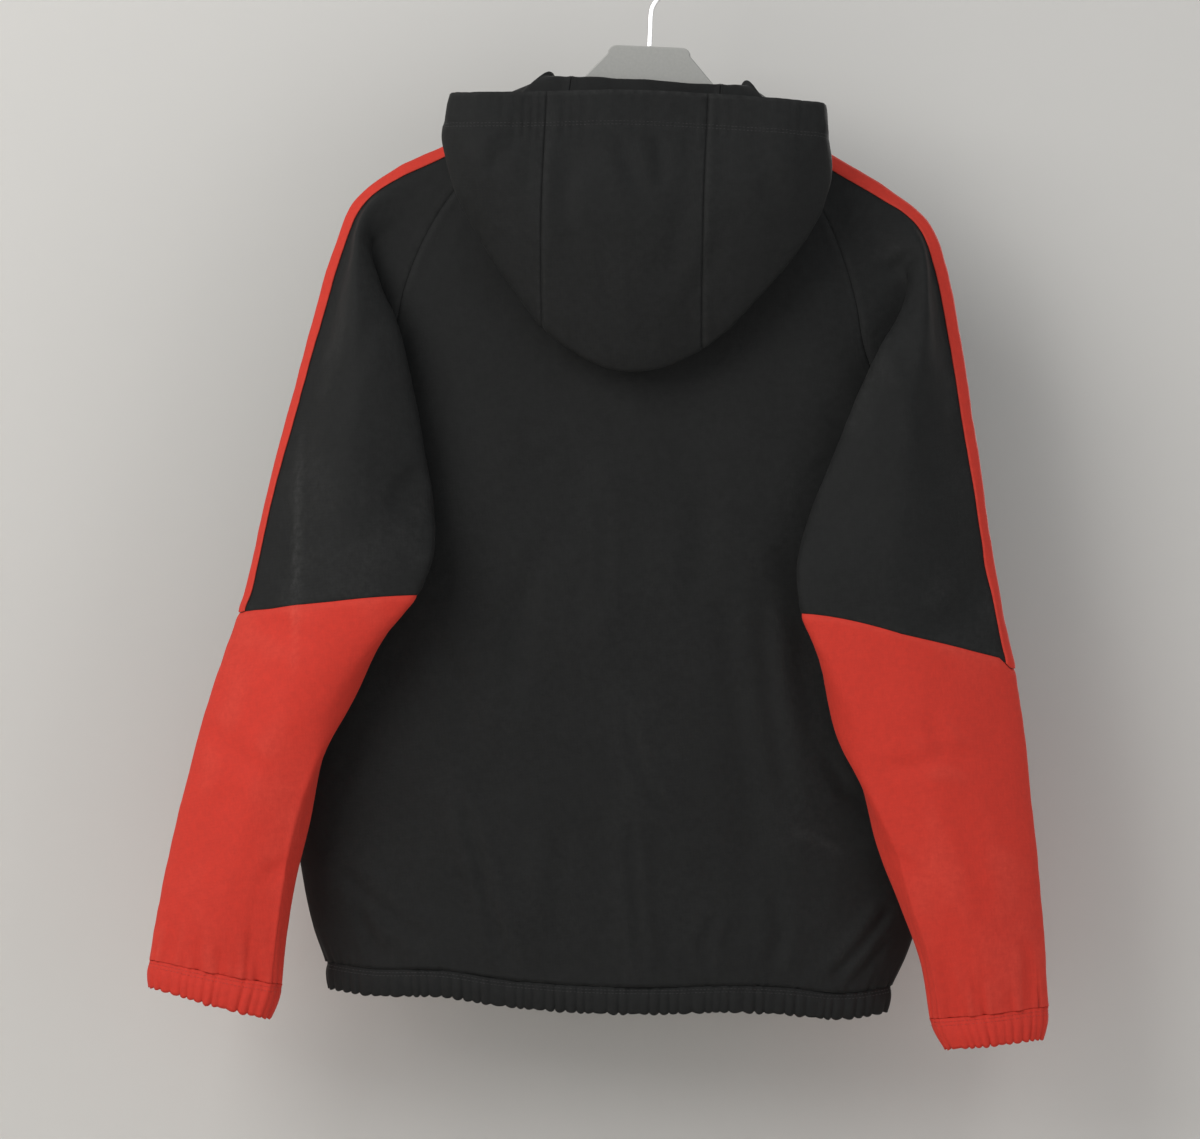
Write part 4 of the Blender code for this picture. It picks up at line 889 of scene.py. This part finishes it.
for side, word in ((LEFT, "left"), (RIGHT, "right")):
    rim = surfaces[side][0][-1]
    around = arc_lengths(rim)[-1]
    count = int(around / (1.3 * MM))
    rim = even_line(rim, count)
    crown_dx, crown_dz, edge_dx, edge_dz = np.array(CUFF_DROP[side]) * MM
    share = np.abs(rim[:, 0] - side * np.abs(rim[:, 0]).min())
    share = share / share.max()
    drop = np.stack([side * mix(edge_dx, crown_dx, share), share * 0, mix(edge_dz, crown_dz, share)], axis=1)
    outward = flat_outward(rim)
    outward[[0, -1]] = unit(outward[0] + outward[-1])
    wave = gathers(np.linspace(0, around, count), CUFF_PITCH, 3.0 + side)
    seam_fade = smooth_step(np.minimum(np.arange(count), np.arange(count)[::-1]) / 4)
    top = rim + unit(drop) * BAND_GAP
    grid = narrow(casing_grid(top, rim + drop, outward, wave * seam_fade), SEAM)
    thread_stitches(f"{word}_cuff_stitches", stitch_lines(grid, CASING_WALL), red_thread)
    sew_on(f"{word}_cuff_band", grid, red_cloth, "red_cloth", f"cuff_{word}", (0.30, 0.026), 0.0068,
           CASING_WALL)


# Back: one black panel from the neck to the hem, sewn between the sleeves and at the sides.
# Long soft folds fall from under the sleeves, and small gathers rise from the hem band.

NECK_BACK = -132 * MM        # height of the neck seam at the centre back
NECK_SIDE = -129.5 * MM      # and where the back meets the sleeves
BACK_COLUMNS = 150
ROW_STEP = 3.3 * MM
ARMPIT_HEIGHT, HEM_END = -415 * MM, -829 * MM
HEM_SEAM = ((-240, -829), (-190, -833), (-135, -831), (-87, -836), (-20, -838.5), (40, -837),
            (100, -833), (140, -833), (190, -835.5), (240, -827))       # across, height
HEM_PITCH = 8.4 * MM
HEM_REACH = (8 * MM, 30 * MM)
FOLDS = ((104, -480, 143, -745, 17, 2.6), (78, -500, 118, -760, 16, -2.4),
         (-2, -600, 30, -690, 14, 1.8), (9, -690, 26, -835, 13, 2.2),
         (30, -690, 70, -735, 12, 1.4), (-136, -675, -68, -835, 15, 2.4),
         (-230, -745, -135, -822, 13, 2.0), (228, -760, 170, -835, 13, 2.2),
         (-22, -420, -18, -560, 13, 1.2), (85, -770, 78, -830, 12, 1.6))
BACK_CREASES = (             # half width, depth, then across and down
    (5, 0.9, (-22, -436), (-19, -489), (-18, -540)),
    (4.5, 1.8, (0, -607), (17, -665), (29, -686), (63, -721)),
    (4.2, 1.9, (9, -692), (17, -763), (26, -834)),
    (5, 1.9, (-134, -686), (-120, -707), (-104, -754), (-88, -811), (-67, -834)),
    (7, 1.7, (-230, -745), (-190, -779), (-133, -819)), (5, 1.2, (-206, -780), (-184, -824)),
    (8, 2.2, (104, -500), (115, -580), (129, -656), (143, -715)),
    (4, 1.6, (84, -770), (74, -804), (80, -826)),
    (4.5, 2.0, (228, -758), (201, -798), (170, -834)), (4, 1.7, (224, -788), (193, -830)),
    (10, 1.2, (-60, -470), (-84, -540), (-92, -620)), (9, 1.1, (-150, -560), (-128, -610), (-118, -660)),
    (11, 1.2, (54, -420), (60, -480), (50, -540)), (8, 1.0, (-40, -705), (-46, -760), (-40, -815)),
    (6, 1.3, (160, -640), (182, -672), (214, -690)), (6, 1.5, (128, -745), (136, -790), (128, -826)))
BACK_CREASING = 1.3          # the back's creases are deeper than their rows say by this factor
SCUFF = ((135, -703), (160, -713), (188, -726))
EVENNESS = 0.18              # 0 crowds a panel's columns at its seams, 1 spaces them evenly
HEM_PULL = ((0.685, 0.735, 0.785, 0.829), (0, 0.2, 0.5, 1))     # drop, share of the hem's line
HEM_PUCKER = (1.15 * MM, 1.3)            # height of the gathers, and how fast they die out


def fold_height(x, z):
    """Height of the soft folds on the back at x, z."""
    height = np.zeros_like(x)
    for row in FOLDS:
        x0, z0, x1, z1, width, ridge = np.array(row) * MM
        along_x, along_z = x1 - x0, z1 - z0
        place = ((x - x0) * along_x + (z - z0) * along_z) / (along_x**2 + along_z**2)
        near = np.clip(place, 0, 1)
        away = np.hypot(x - x0 - near * along_x, z - z0 - near * along_z)
        height += ridge * bell(away, width) * smooth_step(4 * place + 0.5) * smooth_step(4.5 - 4 * place)
    return height


def panel_edge(side, way):
    """A body panel's outer edge: the raglan seam down to the armpit, then the side seam."""
    fine, seams = surfaces[side]
    seam = seams[way].copy()
    rows = np.arange(len(seam))
    inner = fine[rows, 3 if way == BACK else -4]
    seam -= unit(inner - fine[rows, 0 if way == BACK else -1]) * SEAM / 2
    seam[-1, 1] = way * SEAM / 2
    heights = np.linspace(ARMPIT_HEIGHT, HEM_END, round((ARMPIT_HEIGHT - HEM_END) / ROW_STEP))[1:]
    half = soft_value(HALF_WIDTH, heights)
    below = np.stack([side * half, np.full(len(heights), way * SEAM / 2), heights], axis=1)
    return np.vstack([seam, below])


def settle_hem(grid):
    """Pull the lowest rows onto the hem seam's line."""
    change = soft_value(HEM_SEAM, grid[-1, :, 0]) - grid[-1, :, 2]
    share = np.interp(-grid[:, :, 2], *HEM_PULL)
    grid[..., 2] += change[None, :] * share ** 1.2


def lay_on_body(grid, way, columns):
    """Set a panel's depth to the body's, eased to its own seams at the given columns."""
    flat = torso(np.abs(grid[..., 0]), grid[..., 2], way)
    eased = flat.copy()
    for column in columns:
        miss = grid[:, [column], 1] - flat[:, [column]]
        eased += miss * np.exp(-np.abs(grid[..., 0] - grid[:, [column], 0]) / (9 * MM))
    grid[..., 1] = eased


def hem_puckers(at, bottom):
    """Height of the gathers above the hem band at each column's place along it."""
    reach = gather_reach(at, *HEM_REACH, 6.0)[None, :]
    waves = gathers(at, HEM_PITCH, 8.0)[None, :]
    return HEM_PUCKER[0] * waves * np.exp(-bottom / reach * HEM_PUCKER[1])


edges = panel_edge(LEFT, BACK), panel_edge(RIGHT, BACK)
even = np.linspace(-1, 1, BACK_COLUMNS + 1)
spread = mix(np.sin(even * np.pi / 2), even, EVENNESS)
share = ((spread + 1) / 2)[None, :, None]
grid = edges[0][:, None] * (1 - share) + edges[1][:, None] * share
cap = ARMPIT * FINE + 1
dip = (NECK_BACK - NECK_SIDE) * (1 - np.linspace(0, 1, cap)) ** 2
grid[:cap, :, 2] += dip[:, None] * (1 - spread[None, :] ** 2)
settle_hem(grid)
lay_on_body(grid, BACK, (0, -1))
grid = shorten(grid, 0, BAND_GAP)
normals = grid_normals(grid)
normals *= -np.sign(normals[..., 1].sum())
left, right, _, bottom = distances(grid)
sides = np.minimum(left, right)
height = fold_height(grid[..., 0], grid[..., 2])
height += BACK_CREASING * crease_height(grid, BACK_CREASES)
height = (height + wrinkles(grid)) * smooth_step(sides / (30 * MM))
hem_at = arc_lengths(grid)[-1]
back_half = hem_at[-1] / 2
height += hem_puckers(hem_at - back_half, bottom)
height += seam_groove(sides)
# Paler beside the side seams for wear, and a faint painted highlight where folds stand up; the scuff below is
# a pale stain.
wear_and_highlight_mask = 0.12 * bell(sides - 3 * MM, 1.6 * MM) + 0.05 * smooth_step(height / (3 * MM))
wear_and_highlight_mask += 0.22 * line_mask(grid, SCUFF, 4)
back_cloth = grid + normals * height[..., None]
sew_on("back_cloth", back_cloth, black_cloth, "black_cloth", "back_panel", (0.54, 0.71), 0.325, wear_and_highlight=wear_and_highlight_mask)


# Fronts: two black panels from the zip to the sleeves and side seams. Each is turned under
# along the zip and topstitched.

ZIP_EDGE = 6.2 * MM          # each front stops this far from the centre line
NECK_FRONT = -170 * MM
NECK_SCOOP = 7 * MM
FRONT_COLUMNS = 82
PLACKET = 9 * MM             # from the turned edge to its topstitching
FRONT_CREASES = {
    LEFT: ((10, 1.8, (-90, -300), (-110, -400), (-104, -500)),
           (9, 1.7, (-40, -520), (-66, -610), (-60, -700)),
           (8, 1.6, (-200, -700), (-160, -760), (-130, -822)),
           (7, 1.5, (-36, -720), (-44, -780), (-40, -830)),
           (9, 1.3, (-170, -420), (-190, -500)), (6, 1.2, (-96, -770), (-88, -830))),
    RIGHT: ((10, 1.8, (84, -290), (112, -380), (120, -480)), (9, 1.7, (50, -560), (72, -640), (66, -730)),
            (8, 1.6, (206, -690), (170, -752), (150, -824)), (7, 1.5, (30, -735), (38, -790), (34, -830)),
            (9, 1.3, (176, -440), (200, -520)), (6, 1.2, (104, -775), (112, -830))),
}
front_grids = {}
placket_lines = []
for side, word in ((LEFT, "left"), (RIGHT, "right")):
    outer = panel_edge(side, FRONT)
    drop = (outer[:, 2] - outer[0, 2]) / (outer[cap - 1, 2] - outer[0, 2])
    inner_z = np.where(drop < 1, mix(NECK_FRONT, outer[cap - 1, 2], drop), outer[:, 2])
    inner = np.stack([np.full(len(outer), side * ZIP_EDGE), np.zeros(len(outer)), inner_z], axis=1)
    even = np.linspace(0, 1, FRONT_COLUMNS + 1)
    close = np.array([0.15, 0.35, 0.6]) / FRONT_COLUMNS
    share = np.concatenate([[0], close, mix(np.sin(even * np.pi / 2), even, EVENNESS)[1:]])
    grid = inner[:, None] * (1 - share[None, :, None]) + outer[:, None] * share[None, :, None]
    settle_hem(grid)
    scoop = (1 - np.linspace(0, 1, cap)) ** 2 * NECK_SCOOP
    grid[:cap, :, 2] -= scoop[:, None] * (4 * share * (1 - share))[None, :]
    grid[:, 0, 1] = torso(np.abs(grid[:, 0, 0]), grid[:, 0, 2], FRONT)
    lay_on_body(grid, FRONT, (-1,))
    grid = shorten(grid, 0, BAND_GAP)
    normals = grid_normals(grid)
    normals *= np.sign(normals[..., 1].sum())
    near_zip, near_side, _, bottom = distances(grid)
    height = crease_height(grid, FRONT_CREASES[side]) + wrinkles(grid)
    height *= smooth_step(near_side / (30 * MM)) * smooth_step(near_zip / (26 * MM))
    hem_at = side * (back_half + near_side[-1])
    height += hem_puckers(hem_at, bottom) * (0.35 + 0.65 * smooth_step(near_zip / (14 * MM)))
    height += seam_groove(near_side)
    height += 0.5 * MM * (1 - smooth_step((near_zip - PLACKET) / (2 * MM)))
    height -= 0.4 * MM * bell(near_zip - PLACKET, 1.2 * MM)
    wear_and_highlight_mask = 0.12 * bell(near_side - 3 * MM, 1.6 * MM) + 0.4 * bell(near_zip, 1.2 * MM)
    shaped = grid + normals * height[..., None]
    front_grids[side] = shaped
    sew_on(f"{word}_front_cloth", shaped, black_cloth, "black_cloth", f"front_{word}", (0.272, 0.70), 0.150,
           wear_and_highlight=wear_and_highlight_mask)
    column = int(np.argmin(np.abs(near_zip[len(grid) // 2] - PLACKET)))
    facing = normals[2:-3, column]
    placket_lines.append((shaped[2:-3, column] + facing * THREAD_LIFT, facing))
thread_stitches("placket_stitches", placket_lines, black_thread)


# Hem band: one black casing with elastic inside, gathered from one side of the zip round the
# back to the other, and sewn through twice along its top.

HEM_HEIGHT = 21 * MM
HEM_COLUMNS = 760
HEM_TAPER = 0.992            # the band's lower edge is drawn in to this share of its width

turn = np.linspace(-np.pi / 2, 3 * np.pi / 2, 1600)
half = soft_value(HALF_WIDTH, -0.8345)
x = -half * np.cos(turn)
z = soft_value(HEM_SEAM, x)
behind = np.sin(turn) >= 0
y = np.where(behind, torso(np.abs(x), z, BACK), torso(np.abs(x), z, FRONT))
ring = np.stack([x, y, z], axis=1)[behind | (np.abs(x) > ZIP_EDGE)]
ring = even_line(ring, HEM_COLUMNS)
hem_at = arc_lengths(ring)
hem_at -= hem_at[np.argmin(np.abs(ring[:, 0]) + (ring[:, 1] > 0))]
outward = flat_outward(ring)
lower = ring.copy()
lower[:, 0] *= HEM_TAPER
lower[:, 2] -= HEM_HEIGHT
upper = ring.copy()
upper[:, 2] -= BAND_GAP
ends = np.minimum(np.arange(HEM_COLUMNS), np.arange(HEM_COLUMNS)[::-1])
hem = casing_grid(upper, lower, outward, gathers(hem_at, HEM_PITCH, 8.0) * smooth_step(ends / 5))
thread_stitches("hem_stitches", stitch_lines(hem, CASING_WALL), black_thread)
sew_on("hem_band_cloth", hem, black_cloth, "black_cloth", "hem_band", (1.06, 0.026), 0.0235, CASING_WALL)


# Hood: a centre strip between two sides, all black. It hangs empty down the back, turned
# under at its lowest point, and its free edge comes up again over the neck in a stitched
# casing with small gathers by the strip's seams.

HOOD_LEAN = -16 * MM
# Rows from the neck seam to the free edge: y and z of the centre back, share of the hood's
# sideways lean, its tilt, then x, y, z of seven points across one side
HOOD = (
    ((-33, -112, 0.1, 0), (60, -27, -113), (66, -25, -112.5), (74, -21, -111.5),
     (80, -14, -111), (76, -2, -110), (64, 15, -124), (6.2, 27, -164)),
    ((-49, -235, 0.4, 0), (62, -47, -232), (88, -51, -220), (119, -53, -192),
     (117, -42, -150), (84, -4, -113), (66, 21, -128), (6.2, 29, -157)),
    ((-70, -347, 0.7, -90), (64, -66, -322), (101, -69, -281), (143, -65, -217),
     (152, -48, -166), (104, 0, -124), (70, 26, -131), (6.2, 31.5, -148)),
    ((-97, -225, 1.0, 20), (64, -94, -224), (96, -92, -204), (130, -84, -178),
     (151, -62, -150), (121, 3, -137), (75, 30, -133), (6.2, 34, -138)),
    ((-79, -124, 1.0, 30), (64, -77, -125.5), (97, -78, -127), (130, -73, -128.5),
     (148, -56, -130), (131, 5, -147), (79, 32, -131), (6.2, 36, -126)),
)
HOOD_LEAN_ACROSS = np.array((1, 0.8, 0.6, 0.5, 0, 0, 0))
HOOD_ROWS = (10, 22, 24, 26, 22)
HOOD_COLUMNS = tuple(8 * count for count in (2, 2, 2, 2, 2, 2, 3, 3, 2, 2, 2, 2, 2, 2))
STRIP_SEAMS = (96, 144)
TURNED_ROW = 56              # row of the hood's lowest line
HOOD_SEAM_RISE = 1.3 * MM
CASING_DEPTH = (26 * MM, 28.6 * MM)     # two rows of stitches this far from the free edge
NECK_COLUMNS = (0, 44, 71, -18)         # the sleeve's columns that the neck line passes
HOOD_PITCH = 8.2 * MM
STITCH_MARGIN = 24           # columns without stitches at each end of the casing
HOOD_CREASES = ((7, 1.5, (-24, -160), (-12, -185), (-2, -208)),
                (6, 1.4, (8, -156), (11, -178), (14, -202)),
                (8, 1.3, (-58, -168), (-62, -220), (-50, -270)), (9, 1.2, (40, -190), (30, -240), (14, -290)),
                (7, 1.4, (-96, -160), (-116, -178), (-124, -200)),
                (8, 1.3, (86, -168), (100, -190), (104, -216)),
                (6, 1.1, (-30, -262), (-20, -300), (-26, -330)), (6, 1.0, (62, -238), (52, -268), (34, -292)))


def neck_line(side):
    """Seven points of the neck seam, from beside the centre back to the zip."""
    row = surfaces[side][0][0]
    x = np.array([side * 60 * MM])
    z = mix(NECK_BACK, NECK_SIDE, (x / (66 * MM)) ** 2)
    first = np.array([x[0], torso(abs(x[0]), z[0], BACK), z[0]])
    last = np.array([side * ZIP_EDGE, torso(ZIP_EDGE, NECK_FRONT, FRONT), NECK_FRONT])
    near_front = mix(row[-1], last, 0.42)
    near_front[2] -= 4 * MM
    near_front[1] = torso(abs(near_front[0]), near_front[2], FRONT)
    points = np.array([first, *row[list(NECK_COLUMNS)], near_front, last])
    points[:, 2] += HOOD_SEAM_RISE
    points[2:5, 0] -= side * 1.5 * MM
    return points


middle = np.array([0, torso(0.0, NECK_BACK, BACK), NECK_BACK + HOOD_SEAM_RISE])
lines = [np.vstack([neck_line(LEFT)[::-1], middle, neck_line(RIGHT)])]
for (centre_y, centre_z, lean, tilt), *points in HOOD:
    shift = HOOD_LEAN * lean * HOOD_LEAN_ACROSS
    halves = []
    for side in (LEFT, RIGHT):
        line = np.array(points) * MM
        line[:, 0] = side * line[:, 0] + shift
        line[:, 2] += line[:, 0] * tilt * MM * HOOD_LEAN_ACROSS
        halves.append(line)
    middle = np.array([shift[0], centre_y * MM, centre_z * MM])
    lines.append(np.vstack([halves[0][::-1], middle, halves[1]]))
hood = soft_line(np.array(lines), HOOD_ROWS)
hood = np.swapaxes(soft_line(np.swapaxes(hood, 0, 1), HOOD_COLUMNS), 0, 1)
hood_normals = grid_normals(hood)
hood_normals *= -np.sign(hood_normals[-12, hood.shape[1] // 2, 1])
_, _, from_neck, from_edge = distances(hood)
across = arc_lengths(hood)
height = wrinkles(hood, 1.25) * smooth_step(from_neck / (30 * MM))
outer = smooth_step((np.arange(len(hood)) - TURNED_ROW - 4) / 12)[:, None]
height += crease_height(hood, HOOD_CREASES) * outer
seam_away = np.full(height.shape, 1.0)
for column in STRIP_SEAMS:
    seam_away = np.minimum(seam_away, np.abs(across - across[:, [column]]))
height += seam_groove(seam_away)
edge_at = across[-1]
pleats = gathers(edge_at, HOOD_PITCH, 14.0)[None, :]
near_strip = 0.35 + 0.9 * bell(seam_away - 9 * MM, 16 * MM)
height += 0.75 * MM * pleats * near_strip * bell(from_edge - 27 * MM, 12 * MM)
height += 0.35 * MM * pleats * smooth_step(1 - from_edge / (27 * MM))
height += 0.5 * MM * smooth_step((25 * MM - from_edge) / (5 * MM))
for depth in CASING_DEPTH:
    height -= 0.45 * MM * bell(from_edge - depth, 1.1 * MM)
height *= smooth_step(from_neck / (6 * MM))
wear_and_highlight_mask = 0.5 * bell(from_edge, 2.2 * MM) + 0.12 * bell(seam_away - 3 * MM, 1.6 * MM)
wear_and_highlight_mask += 0.1 * bell(from_edge - 27 * MM, 2.5 * MM)
hood = hood + hood_normals * height[..., None]
for name, node, start, stop, flat, area in (
        ("hood_left_side", "hood_left", 0, STRIP_SEAMS[0], (0.27, 0.40), 0.034),
        ("hood_strip", "hood_centre", *STRIP_SEAMS, (0.135, 0.46), 0.058),
        ("hood_right_side", "hood_right", STRIP_SEAMS[1], hood.shape[1] - 1, (0.27, 0.42), 0.039)):
    part = slice(start, stop + 1)
    sew_on(name, narrow(hood[:, part]), black_cloth, "black_cloth", node, flat, area, wear_and_highlight=wear_and_highlight_mask[:, part])
casing_lines = []
for depth in CASING_DEPTH:
    rows = len(hood) - 1 - np.array([np.interp(depth, from_edge[::-1, c], np.arange(len(hood)))
                                     for c in range(hood.shape[1])])
    low = np.clip(rows.astype(int), 0, len(hood) - 2)
    column = np.arange(hood.shape[1])
    part = (rows - low)[:, None]
    points = mix(hood[low, column], hood[low + 1, column], part)
    outward = unit(mix(hood_normals[low, column], hood_normals[low + 1, column], part))
    keep = slice(STITCH_MARGIN, -STITCH_MARGIN)
    casing_lines.append((points[keep] + outward[keep] * THREAD_LIFT, outward[keep]))
thread_stitches("hood_stitches", casing_lines, black_thread)


# Zip: a woven black tape up the whole front and the hood's stand, moulded teeth locked along
# its middle, and a dark metal slider with a hanging pull tab.

ZIP_WALL = 1.6 * MM
TAPE_HALF = ZIP_EDGE - SEAM - 0.3 * MM
TOOTH_PITCH = 1.55 * MM      # from a tooth to the next one on the other side
TOOTH = (2.1 * MM, 0.62 * MM, 0.9 * MM)      # half length, half height, how proud it stands
TOOTH_SHIFT = 0.75 * MM      # of a tooth to its own side
SLIDER_GAP = 9 * MM          # no teeth show this far either side of the slider's middle
LEAST_SPAN = 0.8 * MM        # points nearer than this to the one before aren't used, so the
                             # hood's close rows drop out and the line ends at the neck seam

line = np.vstack([hem[::-1, 0], front_grids[RIGHT][::-1, 0], hood[6:, -1]])
line[:, 0] = 0
steps = np.linalg.norm(np.diff(line, axis=0), axis=1)
line = line[np.concatenate([[True], steps > LEAST_SPAN])]
line = even_line(line, int(arc_lengths(line)[-1] / (3 * MM)))
padded = np.vstack([line[:1]] * 3 + [line] + [line[-1:]] * 3)
line = np.mean([padded[k:k + len(line)] for k in range(7)], axis=0)
tape = np.stack([line + (x, 0, 0) for x in np.linspace(-TAPE_HALF, TAPE_HALF, 7)], axis=1)
sew_on("zip_tape_cloth", tape, black_cloth, "zip_plastic", "zip_tape", (2 * TAPE_HALF, 0.79), None, ZIP_WALL)

tooth_look = hard_look("zip_teeth_look", 0.0, 1e-3,
                       ((0.014, 0.014, 0.015), (0.026, 0.026, 0.027)), (0.35, 0.5))
slider_height = sum(corner[2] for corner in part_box("zip_slider")) / 2
length = arc_lengths(line)
at = np.arange(4 * MM, length[-1] - 4 * MM, TOOTH_PITCH)
centres = np.stack([np.interp(at, length, line[:, k]) for k in range(3)], axis=1)
along = unit(np.gradient(centres, axis=0))
half_long, half_high, proud = TOOTH
vertices, faces = [], []
for k, (centre, up) in enumerate(zip(centres, along)):
    if abs(centre[2] - slider_height) < SLIDER_GAP:
        continue
    out = np.cross((1, 0, 0), up)
    out *= np.sign(out[1])
    side = 1 if k % 2 else -1
    base = centre + out * (ZIP_WALL / 2 - 0.1 * MM) + np.array([side * TOOTH_SHIFT, 0, 0])
    first = len(vertices)
    for rise, narrowing in ((0, 1.0), (0.6 * proud, 1.0), (proud, 0.72)):
        for across, high in ((-1, -1), (1, -1), (1, 1), (-1, 1)):
            vertices.append(base + out * rise + np.array([across * half_long * narrowing, 0, 0])
                            + up * high * half_high * narrowing)
    faces += [(first, first + 3, first + 2, first + 1), (first + 8, first + 9, first + 10, first + 11)]
    for ring in (0, 4):
        for corner in range(4):
            a, b = first + ring + corner, first + ring + (corner + 1) % 4
            faces.append((a, b, b + 4, a + 4))
add_small_parts("zip_teeth", vertices, faces, tooth_look)

slider_look = hard_look("zip_metal_look", 0.75, 1.8e-3,
                        ((0.035, 0.035, 0.037), (0.075, 0.074, 0.072)), (0.28, 0.45))
cover_node("zip_slider", slider_look)
cover_node("zip_pull", slider_look)
